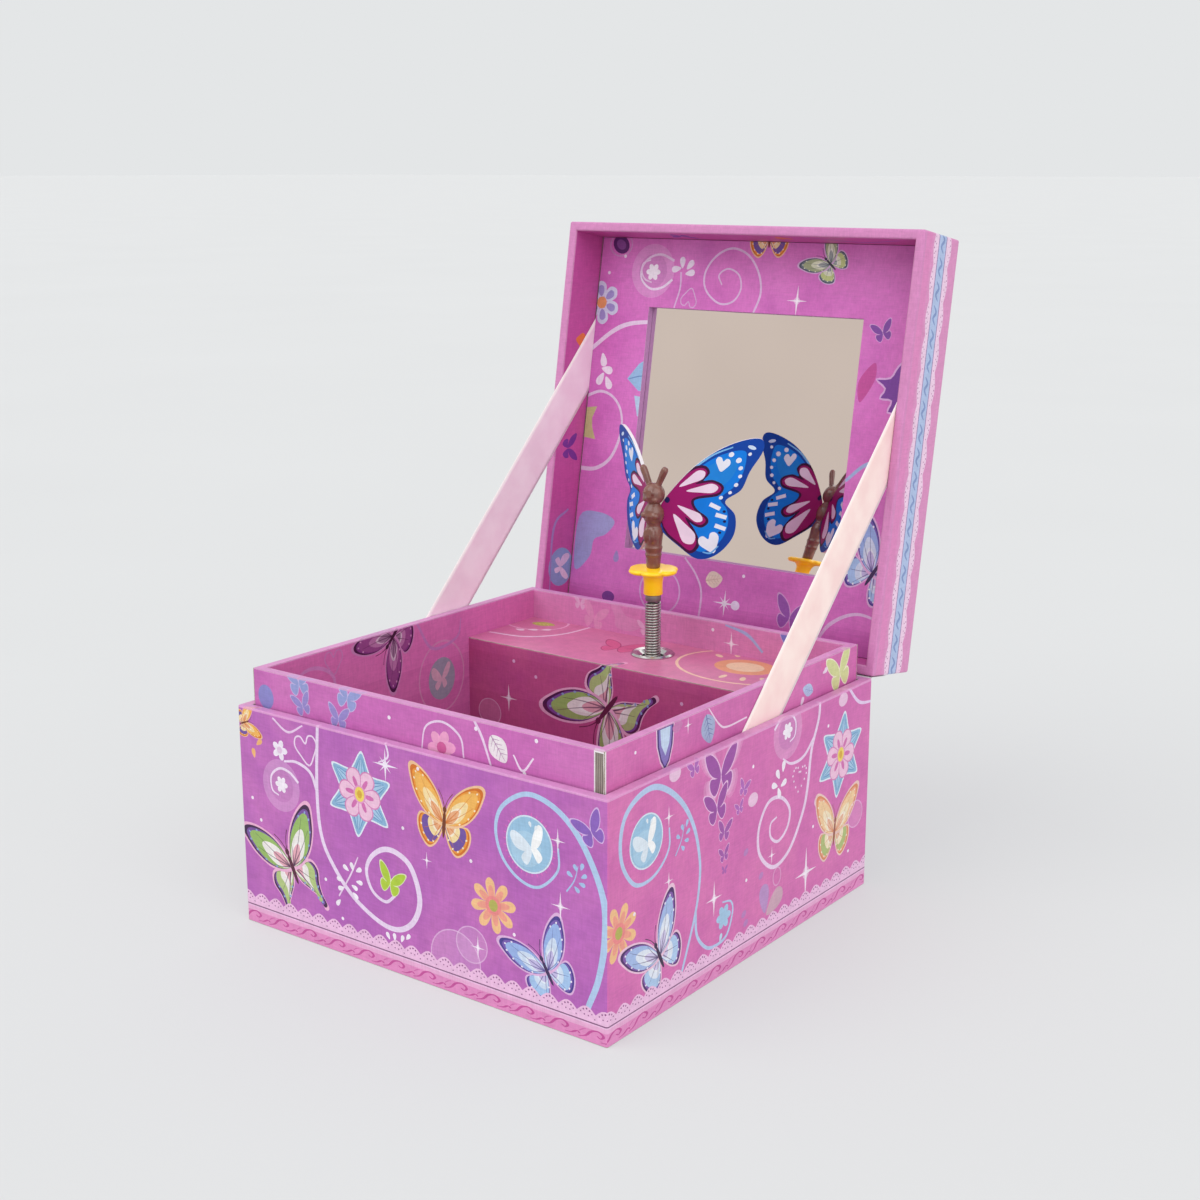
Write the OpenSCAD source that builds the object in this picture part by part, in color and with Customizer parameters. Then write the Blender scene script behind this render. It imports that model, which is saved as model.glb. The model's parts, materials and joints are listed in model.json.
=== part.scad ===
// Musical jewellery box: a paper-covered board box with a hinged mirror lid.
// A clockwork movement behind the compartment turns a butterfly on a spring stem.
// Frame: origin at the middle of the underside, +Z up, +X right, -Y front. Millimetres.
// The lid is drawn closed, and lid_pose() turns it open about the paper hinge.

/* [Box] */
// Outside width of the box
box_w = 110; // [110:1:130]
// Outside depth of the box, front to back
box_d = 111; // [110:1:130]
// Height of the outer walls
box_h = 55; // [55:1:60]
// Thickness of the grey board
board_t = 2.2; // [2:0.1:2.4]
// Thickness of the printed paper
paper_t = 0.2; // [0.1:0.05:0.3]
// Slot between the outer walls and the inner collar
collar_gap = 0.5; // [0.4:0.1:0.8]
// Height of the inner collar above the outer walls
collar_rise = 9; // [7:0.5:11]
// Depth of the music compartment, from the back of the collar to its front panel
housing_d = 28; // [27.6:0.2:30]

/* [Lid] */
// Height of the closed lid
lid_h = 19.3; // [18:0.1:24]
// Angle from closed to fully open
lid_open = 99.6; // [90:0.2:105]
// Depth from the lid's rim to the front of its lining panel
lining_depth = 12.7; // [11:0.1:13]
// Side of the square window over the mirror
window_w = 68; // [50:1:80]
// Width of the satin ribbon
ribbon_w = 12; // [6:1:14]

/* [Figure] */
// Distance of the spring stem behind the middle of the box
stem_y = 38; // [37.6:0.1:38.2]
// Outside diameter of the coiled spring
spring_d = 4.3; // [3.6:0.1:4.6]
// Height of the spring above the music compartment
spring_h = 16.2; // [14:0.2:18]
// Diameter of the flower plate
flower_d = 14.4; // [12:0.2:15]
// Angle that each wing sweeps back from straight sideways
wing_sweep = 37; // [20:1:45]
// Thickness of the wings
wing_t = 0.9; // [0.6:0.1:1.2]

/* [Movement] */
// Height of the mainspring barrel's axis
barrel_z = 25; // [24.5:0.1:25.5]
// Number of pinned tracks on the cylinder, and of teeth on the comb
tracks = 18; // [12:1:18]

/* [Hidden] */
$fn = 48;
eps = 0.01;

// Board box: half widths of each layer, from the printed face inwards
half_w = box_w / 2;
half_d = box_d / 2;
wall_out_w = half_w - paper_t;
wall_out_d = half_d - paper_t;
wall_in_w = wall_out_w - board_t;
wall_in_d = wall_out_d - board_t;
collar_out_w = wall_in_w - collar_gap;
collar_out_d = wall_in_d - collar_gap;
collar_t = 2.3;
collar_in_w = collar_out_w - collar_t;
collar_in_d = collar_out_d - collar_t;
collar_top = box_h + collar_rise;
wall_top = box_h - paper_t;
floor_t = 1;
floor_top = board_t + floor_t;

// Music compartment
housing_top = box_h + 1;
housing_y = collar_in_d - housing_d;
eyelet_flange_r = 5.75;
eyelet_hole_r = 3;
eyelet_barrel_r = 3.5;

// Lid, drawn closed
hinge_gap = 0.15;
hinge_y = half_d + paper_t;
hinge_z = box_h + hinge_gap;
lid_rim_z = box_h + 2 * hinge_gap;
lid_top_z = lid_rim_z + lid_h;
lid_board_z = lid_top_z - paper_t - board_t;
lining_z = lid_rim_z + lining_depth;
lining_t = 2;
lining_half_w = wall_in_w - 0.7;
lining_half_d = wall_in_d - 0.7;
mirror_t = 1.8;
mirror_edge = 2;

// Ribbon: it rises from the slot beside the collar to the back of the lid's lining
ribbon_t = 0.2;
ribbon_x = (collar_out_w + wall_in_w) / 2;
ribbon_foot = [7.1, 54.3];
ribbon_slope = 44.6;
ribbon_below = 12;
ribbon_run = 130;
ribbon_end_z = lining_z + 1.8;

// Figure
spring_r = spring_d / 2;
spring_foot_z = housing_top - 1;
spring_top_z = housing_top + spring_h;
ferrule_h = 1.8;
hub_r = 2.5;
hub_h = 5.6;
plate_z = spring_top_z + hub_h;
plate_t = 1.4;
body_z = plate_z + plate_t;
head_r = 3;
head_z = body_z + 19.3;
antenna_r = 0.85;
antenna_l = 5.6;
wing_root = 1.2;

// Movement: barrel axis along Y, cylinder and second arbor along X, stem and worm along Z
plate_front = collar_in_d - 1.5;
crown_r = 12;
crown_teeth = 32;
crown_tooth_w = 0.62;
crown_tooth_h = 1.5;
pinion_teeth = 8;
pinion_pitch_r = crown_r * pinion_teeth / crown_teeth;
pinion_w = 2.5;
drum_y = stem_y + pinion_pitch_r + 0.8;
drum_r = 13.2;
drum_end = drum_y + 5.4;
drum_wall = 0.8;
arbor_r = 2;
arbor_fit = 0.05;
key_y = half_d + 1.3;
train_module = 0.5;
great_teeth = 30;
train_pinion_teeth = 10;
worm_wheel_teeth = 24;
great_x = 39.8;
second_z = barrel_z + train_module * (great_teeth + train_pinion_teeth) / 2;
pivot_r = 0.8;
cylinder_x = 15.2;
cylinder_l = 24;
cylinder_r = 6.5;
pin_h = 0.5;
track_pitch = cylinder_l / (tracks + 0.6);
bracket_x = 13.6;
middle_cheek_x = 41.6;
end_cheek_x = 46.4;
cheek_t = 1.2;
worm_x = 44.2;
worm_r = 1.5;
worm_root_r = 0.8;
worm_pitch = PI * train_module;
worm_wheel_r = train_module * worm_wheel_teeth / 2;
worm_y = stem_y - worm_wheel_r - 1.45;
worm_l = 8;
worm_z = second_z - worm_l / 2;
governor_foot_z = 27.2;
governor_top_z = 50.4;
fan_z = 43.2;
wire_x = 48.4;
wire_r = 0.4;
wire_y = collar_out_d + wire_r + 0.02;
wire_z = 49.6;
wire_top = box_h + 2.72;
screw_r = 1.25;
screw_spots = [[-15, 42], [-15, 8], [36, 42]];

// Colours
print_purple = [0.72, 0.3, 0.62];
print_pink = [0.85, 0.42, 0.66];
lining_purple = [0.7, 0.28, 0.58];
satin = [0.96, 0.8, 0.82];
steel = [0.72, 0.72, 0.72];
brass_tone = [0.8, 0.64, 0.32];

// ---------------------------------------------------------------- shared shapes

// A block between two opposite corners
module block(low, high) {
  translate(low)
    cube([high[0] - low[0], high[1] - low[1], high[2] - low[2]]);
}

// Turns what was drawn on the closed lid to the open position
module lid_pose() {
  translate([0, hinge_y, hinge_z])
    rotate([-lid_open, 0, 0])
      translate([0, -hinge_y, -hinge_z])
        children();
}

// Straight-sided gear about Z, with a tooth on +X
module gear(teeth, gear_module, width, bore_r) {
  pitch_r = gear_module * teeth / 2;
  tip_r = pitch_r + 0.7 * gear_module;
  root_r = pitch_r - gear_module;
  step = 360 / teeth;
  outline = [
    for (i = [0 : teeth - 1])
      for (corner = [[-0.3, root_r], [-0.11, tip_r], [0.11, tip_r], [0.3, root_r]])
        corner[1] * [cos((i + corner[0]) * step), sin((i + corner[0]) * step)]
  ];
  difference() {
    linear_extrude(height = width)
      polygon(outline);
    translate([0, 0, -1])
      cylinder(r = bore_r, h = width + 2);
  }
}

// A round bar along X or Y
module bar_x(from, length, r) {
  translate(from)
    rotate([0, 90, 0])
      cylinder(r = r, h = length);
}

module bar_y(from, length, r) {
  translate(from)
    rotate([-90, 0, 0])
      cylinder(r = r, h = length);
}

// Points of a closed smooth curve through the given points
function curve_point(a, b, c, d, t) =
  0.5 * (2 * b + (c - a) * t + (2 * a - 5 * b + 4 * c - d) * t * t
  + (3 * b - a - 3 * c + d) * t * t * t);
function closed_curve(p, steps) = [
  for (i = [0 : len(p) - 1])
    for (k = [0 : steps - 1])
      curve_point(p[(i + len(p) - 1) % len(p)], p[i], p[(i + 1) % len(p)], p[(i + 2) % len(p)], k / steps)
];

// ---------------------------------------------------------------- box

module base_board() {
  color(print_pink)
    block([-wall_out_w, -wall_out_d, 0], [wall_out_w, wall_out_d, board_t]);
}

module front_wall() {
  color(print_purple)
    block([-wall_out_w, -wall_out_d, board_t], [wall_out_w, -wall_in_d, wall_top]);
}

module back_wall() {
  color(print_purple)
    difference() {
      block([-wall_out_w, wall_in_d, board_t], [wall_out_w, wall_out_d, wall_top]);
      bar_y([0, wall_in_d - 1, barrel_z], board_t + 2, arbor_r + 1.5);
      for (spot = screw_spots)
        bar_y([spot[0], wall_in_d - 1, spot[1]], board_t + 2, screw_r + 0.25);
      block([wire_x - 0.5, wall_in_d - 1, 45], [wire_x + 0.5, wire_y + wire_r + 0.1, box_h]);
    }
}

module side_wall() {
  block([wall_in_w, -wall_in_d, board_t], [wall_out_w, wall_in_d, wall_top]);
}

module left_wall() {
  color(print_pink)
    mirror([1, 0, 0])
      side_wall();
}

module right_wall() {
  color(print_pink)
    side_wall();
}

// Printed paper round the four walls, turned in over their top edges
module outer_wrap() {
  color(print_purple)
    difference() {
      block([-half_w, -half_d, paper_t], [half_w, half_d, box_h]);
      block([-wall_out_w, -wall_out_d, -1], [wall_out_w, wall_out_d, wall_top]);
      block([-wall_in_w, -wall_in_d, 0], [wall_in_w, wall_in_d, box_h + 1]);
      bar_y([0, wall_out_d - 1, barrel_z], 3, arbor_r + 1.2);
      for (spot = screw_spots)
        bar_y([spot[0], wall_out_d - 1, spot[1]], 3, screw_r + 0.25);
      block([wire_x - 0.5, wall_in_d - 1, 45], [wire_x + 0.5, wire_y + wire_r + 0.1, box_h + 1]);
    }
}

module collar_front() {
  color(print_purple)
    block([-collar_out_w, -collar_out_d, board_t], [collar_out_w, -collar_in_d, collar_top]);
}

module collar_back() {
  color(print_purple)
    difference() {
      block([-collar_out_w, collar_in_d, board_t], [collar_out_w, collar_out_d, collar_top]);
      bar_y([0, collar_in_d - 1, barrel_z], collar_t + 2, arbor_r + 1.5);
      for (spot = screw_spots)
        bar_y([spot[0], collar_in_d - 1, spot[1]], collar_t + 2, screw_r + 0.25);
      block([wire_x - 0.6, collar_in_d - 1, wire_z - 3.4], [wire_x + 0.6, collar_out_d + 1, wire_z + 0.7]);
    }
}

module collar_side() {
  block([collar_in_w, -collar_in_d, board_t], [collar_out_w, collar_in_d, collar_top]);
}

module collar_left() {
  color(print_pink)
    mirror([1, 0, 0])
      collar_side();
}

module collar_right() {
  color(print_pink)
    collar_side();
}

module compartment_floor() {
  color(lining_purple)
    block([-collar_in_w, -collar_in_d, board_t], [collar_in_w, collar_in_d, floor_top]);
}

module housing_front_panel() {
  color(print_purple)
    block([-collar_in_w, housing_y, floor_top], [collar_in_w, housing_y + board_t, housing_top - board_t]);
}

module housing_top_panel() {
  color(print_pink)
    difference() {
      block([-collar_in_w, housing_y, housing_top - board_t], [collar_in_w, collar_in_d, housing_top]);
      translate([0, stem_y, housing_top - board_t - 1])
        cylinder(r = eyelet_barrel_r + 0.05, h = board_t + 2);
    }
}

// Rolled metal eyelet: dished flange above, barrel through the panel, rolled edge below
module stem_eyelet() {
  low = -board_t - 0.6;
  color(steel)
    translate([0, stem_y, housing_top])
      rotate_extrude()
        polygon([
          [eyelet_hole_r, low], [eyelet_hole_r + 1.6, low], [eyelet_hole_r + 1.6, -board_t],
          [eyelet_barrel_r, -board_t], [eyelet_barrel_r, 0], [eyelet_flange_r, 0],
          [eyelet_flange_r, 0.35], [eyelet_flange_r - 0.5, 0.75], [eyelet_hole_r + 1.1, 0.5],
          [eyelet_hole_r, -0.4]
        ]);
}

// ---------------------------------------------------------------- lid

module lid_front_wall() {
  color(print_pink)
    lid_pose()
      block([-wall_out_w, -wall_out_d, lid_rim_z + paper_t], [wall_out_w, -wall_in_d, lid_board_z]);
}

module lid_back_wall() {
  color(print_pink)
    lid_pose()
      block([-wall_out_w, wall_in_d, lid_rim_z + paper_t], [wall_out_w, wall_out_d, lid_board_z]);
}

module lid_side_wall() {
  block([wall_in_w, -wall_in_d, lid_rim_z + paper_t], [wall_out_w, wall_in_d, lid_board_z]);
}

module lid_left_wall() {
  color(print_pink)
    lid_pose()
      mirror([1, 0, 0])
        lid_side_wall();
}

module lid_right_wall() {
  color(print_pink)
    lid_pose()
      lid_side_wall();
}

module lid_top_board() {
  color(print_purple)
    lid_pose()
      block([-wall_out_w, -wall_out_d, lid_board_z], [wall_out_w, wall_out_d, lid_board_z + board_t]);
}

// Printed paper over the lid, turned in over the rim
module lid_wrap() {
  color(print_pink)
    lid_pose()
      difference() {
        block([-half_w, -half_d, lid_rim_z], [half_w, half_d, lid_top_z]);
        block([-wall_out_w, -wall_out_d, lid_rim_z + paper_t], [wall_out_w, wall_out_d, lid_top_z - paper_t]);
        block([-wall_in_w, -wall_in_d, lid_rim_z - 1], [wall_in_w, wall_in_d, lid_rim_z + 1]);
      }
}

module lid_lining_panel() {
  color(lining_purple)
    lid_pose()
      difference() {
        block([-lining_half_w, -lining_half_d, lining_z], [lining_half_w, lining_half_d, lining_z + lining_t]);
        block([-window_w / 2, -window_w / 2, lining_z - 1], [window_w / 2, window_w / 2, lining_z + lining_t + 1]);
      }
}

// Board frame behind the lining that holds the mirror
module mirror_frame() {
  hole = window_w / 2 + mirror_edge + 0.1;
  color([0.6, 0.55, 0.5])
    lid_pose()
      difference() {
        block([-lining_half_w, -lining_half_d, lining_z + lining_t], [lining_half_w, lining_half_d, lid_board_z]);
        block([-hole, -hole, lining_z], [hole, hole, lid_board_z + 1]);
      }
}

module mirror_plate() {
  half = window_w / 2 + mirror_edge;
  block([-half, -half, lining_z + lining_t + 0.1], [half, half, lining_z + lining_t + 0.1 + mirror_t]);
}

module mirror_glass() {
  color([0.8, 0.8, 0.78])
    lid_pose()
      mirror_plate();
}

// Strip of paper pasted over the back of the box and the back of the lid
module paper_hinge() {
  leg = 8;
  fold = [hinge_y, hinge_z];
  along = [sin(lid_open), cos(lid_open)];
  across = [-cos(lid_open), sin(lid_open)];
  outline = [
    [half_d, fold[1] - leg], [fold[0], fold[1] - leg], fold,
    fold + leg * along, fold + leg * along + paper_t * across,
    fold + paper_t * across, [half_d, fold[1] - 0.05]
  ];
  color(print_pink)
    translate([-half_w + 0.5, 0, 0])
      rotate([90, 0, 90])
        linear_extrude(height = box_w - 1)
          polygon(outline);
}

// Satin strip, cut level in the slot and square under the lid's lining
module ribbon() {
  difference() {
    translate([ribbon_x - ribbon_t / 2, ribbon_foot[0], ribbon_foot[1]])
      rotate([ribbon_slope, 0, 0])
        translate([0, -ribbon_below, -ribbon_w / 2])
          cube([ribbon_t, ribbon_below + ribbon_run, ribbon_w]);
    block([ribbon_x - 2, -half_d, 0], [ribbon_x + 2, half_d, ribbon_foot[1] - 5]);
    lid_pose()
      block([ribbon_x - 2, -half_d, ribbon_end_z], [ribbon_x + 2, half_d, ribbon_end_z + 60]);
  }
}

module left_ribbon() {
  color(satin)
    mirror([1, 0, 0])
      ribbon();
}

module right_ribbon() {
  color(satin)
    ribbon();
}

// ---------------------------------------------------------------- movement frame

module movement_bedplate() {
  color(steel)
    difference() {
      block([-19, plate_front, 4.5], [46, collar_in_d, 46]);
      bar_y([0, plate_front - 1, barrel_z], 4, arbor_r + arbor_fit);
      for (spot = screw_spots)
        bar_y([spot[0], plate_front - 1, spot[1]], 4, screw_r + arbor_fit);
    }
}

module movement_screws() {
  color(steel)
    for (spot = screw_spots)
      difference() {
        union() {
          bar_y([spot[0], plate_front, spot[1]], half_d - plate_front + eps, screw_r);
          bar_y([spot[0], half_d, spot[1]], 1.2, 2.6);
        }
        block([spot[0] - 3, half_d + 0.6, spot[1] - 0.3], [spot[0] + 3, half_d + 2, spot[1] + 0.3]);
      }
}

// Drum with its crown teeth towards the front, hollow for the mainspring
module barrel_drum() {
  color(brass_tone)
    difference() {
      union() {
        bar_y([0, drum_y, barrel_z], drum_end - drum_y, drum_r);
        for (i = [0 : crown_teeth - 1])
          translate([0, drum_y, barrel_z])
            rotate([0, i * 360 / crown_teeth, 0])
              block([-crown_tooth_w / 2, -crown_tooth_h, crown_r - 1], [crown_tooth_w / 2, 0.1, crown_r + 1]);
      }
      bar_y([0, drum_y + drum_wall, barrel_z], drum_end - drum_y - 2 * drum_wall, drum_r - drum_wall);
      bar_y([0, drum_y - 2, barrel_z], drum_end - drum_y + 4, arbor_r + arbor_fit);
    }
}

// Flat spring wound in the drum
module mainspring() {
  turns = 6;
  inner = arbor_r + 0.8;
  gain = 1.45;
  strip = 0.3;
  steps = 20 * turns;
  inside = [
    for (i = [0 : steps])
      (inner + gain * i / 20) * [cos(i * 18), sin(i * 18)]
  ];
  outside = [
    for (i = [steps : -1 : 0])
      (inner + strip + gain * i / 20) * [cos(i * 18), sin(i * 18)]
  ];
  color([0.45, 0.5, 0.6])
    translate([0, drum_y + drum_wall + 0.2, barrel_z])
      rotate([-90, 0, 0])
        linear_extrude(height = drum_end - drum_y - 2 * drum_wall - 0.4)
          polygon(concat(inside, outside));
}

module winding_arbor() {
  color(steel)
    bar_y([0, drum_y - 1.2, barrel_z], key_y + 5 - drum_y + 1.2, arbor_r);
}

module ratchet_wheel() {
  teeth = 12;
  outline = [
    for (i = [0 : teeth - 1])
      for (corner = [[0, 3.4], [0.9, 4.4]])
        corner[1] * [cos((i + corner[0]) * 360 / teeth), sin((i + corner[0]) * 360 / teeth)]
  ];
  color(steel)
    translate([0, drum_end + 0.1, barrel_z])
      rotate([-90, 0, 0])
        difference() {
          linear_extrude(height = 0.8)
            polygon(outline);
          translate([0, 0, -1])
            cylinder(r = arbor_r + 0.01, h = 3);
        }
}

module click_pawl() {
  color(steel)
    union() {
      block([4.7, drum_end + 0.15, barrel_z + 0.4], [8.6, drum_end + 0.85, barrel_z + 1.4]);
      bar_y([8.4, drum_end + 0.15, barrel_z + 0.9], plate_front - drum_end - 0.15, 0.9);
    }
}

// Butterfly key on the square end of the arbor, outside the back wall
module winding_key() {
  bow_y = key_y + 12.5;
  color(brass_tone)
    difference() {
      union() {
        bar_y([0, key_y, barrel_z], 9, 3);
        for (side = [-1, 1])
          key_wing(side * 5, bow_y);
        block([-5, bow_y - 5.2, barrel_z - 1], [5, bow_y + 2, barrel_z + 1]);
      }
      bar_y([0, key_y - 1, barrel_z], 6.02, arbor_r + 0.01);
      for (side = [-1, 1])
        translate([side * 6, bow_y, barrel_z - 3])
          cylinder(r = 2, h = 6);
    }
}

// One rounded wing of the key, lying flat about Z
module key_wing(x, y) {
  translate([x, y, barrel_z - 1])
    cylinder(r = 5, h = 2);
}

// ---------------------------------------------------------------- movement train

module output_stem() {
  color(steel)
    translate([0, stem_y, 0])
      union() {
        translate([0, 0, barrel_z + crown_r - pinion_w / 2])
          rotate([0, 0, 180 / pinion_teeth])
            gear(pinion_teeth, 2 * pinion_pitch_r / pinion_teeth, pinion_w, 0.5);
        translate([0, 0, barrel_z + crown_r - 1.8])
          cylinder(r = 1.2, h = housing_top + 2 - barrel_z - crown_r + 1.8);
      }
}

// Shelf from the bedplate that carries the upright stem
module stem_bracket() {
  shelf_z = 43;
  color(brass_tone)
    difference() {
      block([-5, stem_y - 4, shelf_z], [5, plate_front, shelf_z + 1.2]);
      translate([0, stem_y, shelf_z - 1])
        cylinder(r = 1.2 + arbor_fit, h = 4);
    }
}

// Brass cylinder with its pins on a regular spiral of notes
module pinned_cylinder() {
  notes = 3;
  color(brass_tone)
    difference() {
      union() {
        bar_x([cylinder_x, stem_y, barrel_z], cylinder_l, cylinder_r);
        for (i = [0 : tracks - 1])
          for (k = [0 : notes - 1])
            translate([cylinder_x + (i + 0.8) * track_pitch, stem_y, barrel_z])
              rotate([i * 47 + k * 360 / notes + 20, 0, 0])
                translate([0, 0, cylinder_r - 0.2])
                  cylinder(r = 0.22, h = pin_h + 0.2, $fn = 13);
      }
      bar_x([cylinder_x + 1, stem_y, barrel_z], cylinder_l - 2, cylinder_r - 0.8);
      bar_x([cylinder_x - 1, stem_y, barrel_z], cylinder_l + 2, 1.21);
    }
}

// Arbor with the pinion that the barrel drives, and the great wheel
module cylinder_arbor() {
  color(steel)
    translate([0, stem_y, barrel_z])
      union() {
        translate([crown_r - pinion_w / 2, 0, 0])
          rotate([0, 90, 0])
            rotate([0, 0, 180 / pinion_teeth])
              gear(pinion_teeth, 2 * pinion_pitch_r / pinion_teeth, pinion_w, 0.5);
        bar_x([crown_r - pinion_w / 2 - 0.2, 0, 0], middle_cheek_x + cheek_t - crown_r + pinion_w / 2, pivot_r);
        bar_x([cylinder_x - 0.1, 0, 0], great_x - cylinder_x + 0.2, 1.2);
        translate([great_x, 0, 0])
          rotate([0, 90, 0])
            gear(great_teeth, train_module, cheek_t, 0.5);
      }
}

// Three cheeks on one rail carry the cylinder and the second arbor
module cylinder_bracket() {
  rail_y = plate_front - 1.2;
  color(brass_tone)
    difference() {
      union() {
        block([bracket_x, stem_y - 4, barrel_z - 4], [bracket_x + cheek_t, rail_y + eps, barrel_z + 4]);
        block([middle_cheek_x, stem_y - 4, barrel_z - 4], [middle_cheek_x + cheek_t, rail_y + eps, second_z + 4]);
        block([end_cheek_x, stem_y - 4, second_z - 4], [end_cheek_x + cheek_t, rail_y + eps, second_z + 4]);
        block([bracket_x, rail_y, barrel_z - 4], [middle_cheek_x + cheek_t, plate_front, barrel_z + 4]);
        block([middle_cheek_x, rail_y, second_z - 4], [end_cheek_x + cheek_t, plate_front, second_z + 4]);
      }
      bar_x([bracket_x - 1, stem_y, barrel_z], 30, pivot_r + arbor_fit);
      bar_x([middle_cheek_x - 1, stem_y, barrel_z], cheek_t + 2, pivot_r + arbor_fit);
      bar_x([middle_cheek_x - 1, stem_y, second_z], 8, pivot_r + arbor_fit);
    }
}

// Steel comb below the cylinder, its teeth pointing up at the pins
module music_comb() {
  comb_w = tracks * track_pitch;
  low_x = cylinder_x + 0.8 * track_pitch - track_pitch / 2;
  tip_z = barrel_z - cylinder_r - pin_h - 0.12;
  color([0.55, 0.58, 0.62])
    difference() {
      block([low_x, stem_y - 0.5, 4], [low_x + comb_w, stem_y + 0.5, tip_z]);
      for (i = [1 : tracks - 1])
        block([low_x + i * track_pitch - 0.12, stem_y - 1, 9], [low_x + i * track_pitch + 0.12, stem_y + 1, tip_z + 1]);
      for (x = [low_x + 4, low_x + comb_w - 4])
        bar_y([x, stem_y - 1, 6.4], 2, 0.85);
    }
}

// Foot that spaces the comb from the bedplate
module comb_mount() {
  color(brass_tone)
    difference() {
      block([17, stem_y + 0.5, 4.5], [38, plate_front, 8.2]);
      for (x = comb_screw_xs())
        bar_y([x, stem_y, 6.4], 5, 0.85);
    }
}

function comb_screw_xs() =
  [cylinder_x + 0.3 * track_pitch + 4, cylinder_x + (tracks + 0.3) * track_pitch - 4];

module comb_screws() {
  color(steel)
    for (x = comb_screw_xs())
      union() {
        bar_y([x, stem_y - 1.7, 6.4], 1.2, 1.6);
        bar_y([x, stem_y - 0.6, 6.4], 4.6, 0.8);
      }
}

// Second arbor: pinion in the great wheel, worm wheel at its far end
module second_arbor() {
  color(brass_tone)
    translate([0, stem_y, second_z])
      union() {
        translate([great_x - 0.2, 0, 0])
          rotate([0, 90, 0])
            rotate([0, 0, 180 / train_pinion_teeth])
              gear(train_pinion_teeth, train_module, cheek_t + 0.4, 0.5);
        bar_x([great_x - 1, 0, 0], end_cheek_x + cheek_t - great_x + 1, pivot_r);
        translate([worm_x - 0.6, 0, 0])
          rotate([0, 90, 0])
            gear(worm_wheel_teeth, train_module, 1.2, 0.5);
      }
}

// Right-hand screw thread with its ends turned down as pivots
module governor_worm() {
  thread_shift = (worm_r - worm_root_r) / 2;
  color(steel)
    translate([worm_x, worm_y, 0])
      union() {
        translate([0, 0, worm_z])
          rotate([0, 0, 90 + 180 - 360 * (second_z - worm_z) / worm_pitch])
            linear_extrude(height = worm_l, twist = -360 * worm_l / worm_pitch, slices = 60, $fn = 10)
              translate([thread_shift, 0])
                circle(r = worm_root_r + thread_shift);
        translate([0, 0, governor_foot_z + 0.1])
          cylinder(r = 0.5, h = governor_top_z + 0.9 - governor_foot_z);
      }
}

// Two-bladed air brake on the worm's shaft
module air_brake() {
  color(brass_tone)
    translate([worm_x, worm_y, fan_z])
      difference() {
        union() {
          cylinder(r = 1.1, h = 4.6);
          block([-0.2, -4, 0.3], [0.2, 4, 4.3]);
        }
        translate([0, 0, -1])
          cylinder(r = 0.51, h = 7);
      }
}

// Upper and lower arms from the bedplate hold the worm upright
module governor_frame() {
  color(steel)
    difference() {
      union() {
        block([worm_x - 1.2, worm_y - 1.6, governor_foot_z], [worm_x + 1.4, plate_front, governor_foot_z + 1]);
        block([worm_x - 1.2, worm_y - 1.6, governor_top_z], [worm_x + 1.4, plate_front, governor_top_z + 1]);
        block([worm_x - 1.2, plate_front - 1, 45], [worm_x + 1.4, plate_front, governor_top_z + eps]);
      }
      translate([worm_x, worm_y, governor_foot_z - 1])
        cylinder(r = 0.55, h = 30);
    }
}

// Bent wire: the closing lid pushes its top down and its tip stops the air brake
module stop_wire() {
  tip_x = worm_x + 2.6;
  color(steel)
    union() {
      translate([wire_x, wire_y, wire_z])
        cylinder(r = wire_r, h = wire_top - wire_z, $fn = 24);
      translate([wire_x, wire_y, wire_z])
        sphere(r = wire_r, $fn = 24);
      bar_y([wire_x, worm_y, wire_z], wire_y - worm_y, wire_r);
      translate([wire_x, worm_y, wire_z])
        sphere(r = wire_r, $fn = 24);
      bar_x([tip_x, worm_y, wire_z], wire_x - tip_x, wire_r);
    }
}

// ---------------------------------------------------------------- figure

// Close-coiled spring, drawn as the tube that its coils fill
module spring_stem() {
  color(steel)
    translate([0, stem_y, spring_foot_z])
      difference() {
        cylinder(r = spring_r, h = spring_top_z - ferrule_h - spring_foot_z);
        translate([0, 0, -1])
          cylinder(r = 1.4, h = spring_h + 4);
      }
}

module spring_ferrule() {
  color([0.55, 0.53, 0.5])
    translate([0, stem_y, spring_top_z - ferrule_h])
      cylinder(r = spring_r - 0.1, h = ferrule_h);
}

// Hub and scalloped plate, one moulding
module flower_base() {
  petals = 6;
  petal_r = flower_d / 2 * 0.42;
  color([0.96, 0.73, 0.09])
    translate([0, stem_y, 0])
      union() {
        translate([0, 0, spring_top_z])
          cylinder(r1 = hub_r, r2 = hub_r + 0.15, h = hub_h + 0.05);
        translate([0, 0, plate_z])
          cylinder(r = flower_d / 2 - petal_r, h = plate_t);
        for (i = [0 : petals - 1])
          translate([0, 0, plate_z])
            rotate([0, 0, (i + 0.5) * 360 / petals])
              translate([flower_d / 2 - petal_r, 0, 0])
                cylinder(r = petal_r, h = plate_t);
      }
}

// Turned body with a round head and two club-ended antennae
module butterfly_body() {
  profile = [
    [0, 0], [1.9, 0], [2.1, 3.2], [1.95, 3.7], [2.3, 4.2], [2.15, 6.4], [2.45, 7], [2.3, 10.5],
    [1.9, 11.6], [2.3, 12.4], [2.75, 14], [2.5, 16.2], [1.5, 17.2], [0, 17.2]
  ];
  color([0.42, 0.25, 0.2])
    translate([0, stem_y, 0])
      union() {
        translate([0, 0, body_z])
          rotate_extrude()
            polygon(profile);
        translate([0, 0, head_z])
          sphere(r = head_r);
        for (side = [-1, 1])
          translate([side * 0.8, 0, head_z + 1.4])
            rotate([0, side * 26, 0]) {
              cylinder(r = antenna_r, h = antenna_l);
              translate([0, 0, antenna_l])
                sphere(r = antenna_r + 0.15);
            }
      }
}

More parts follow.
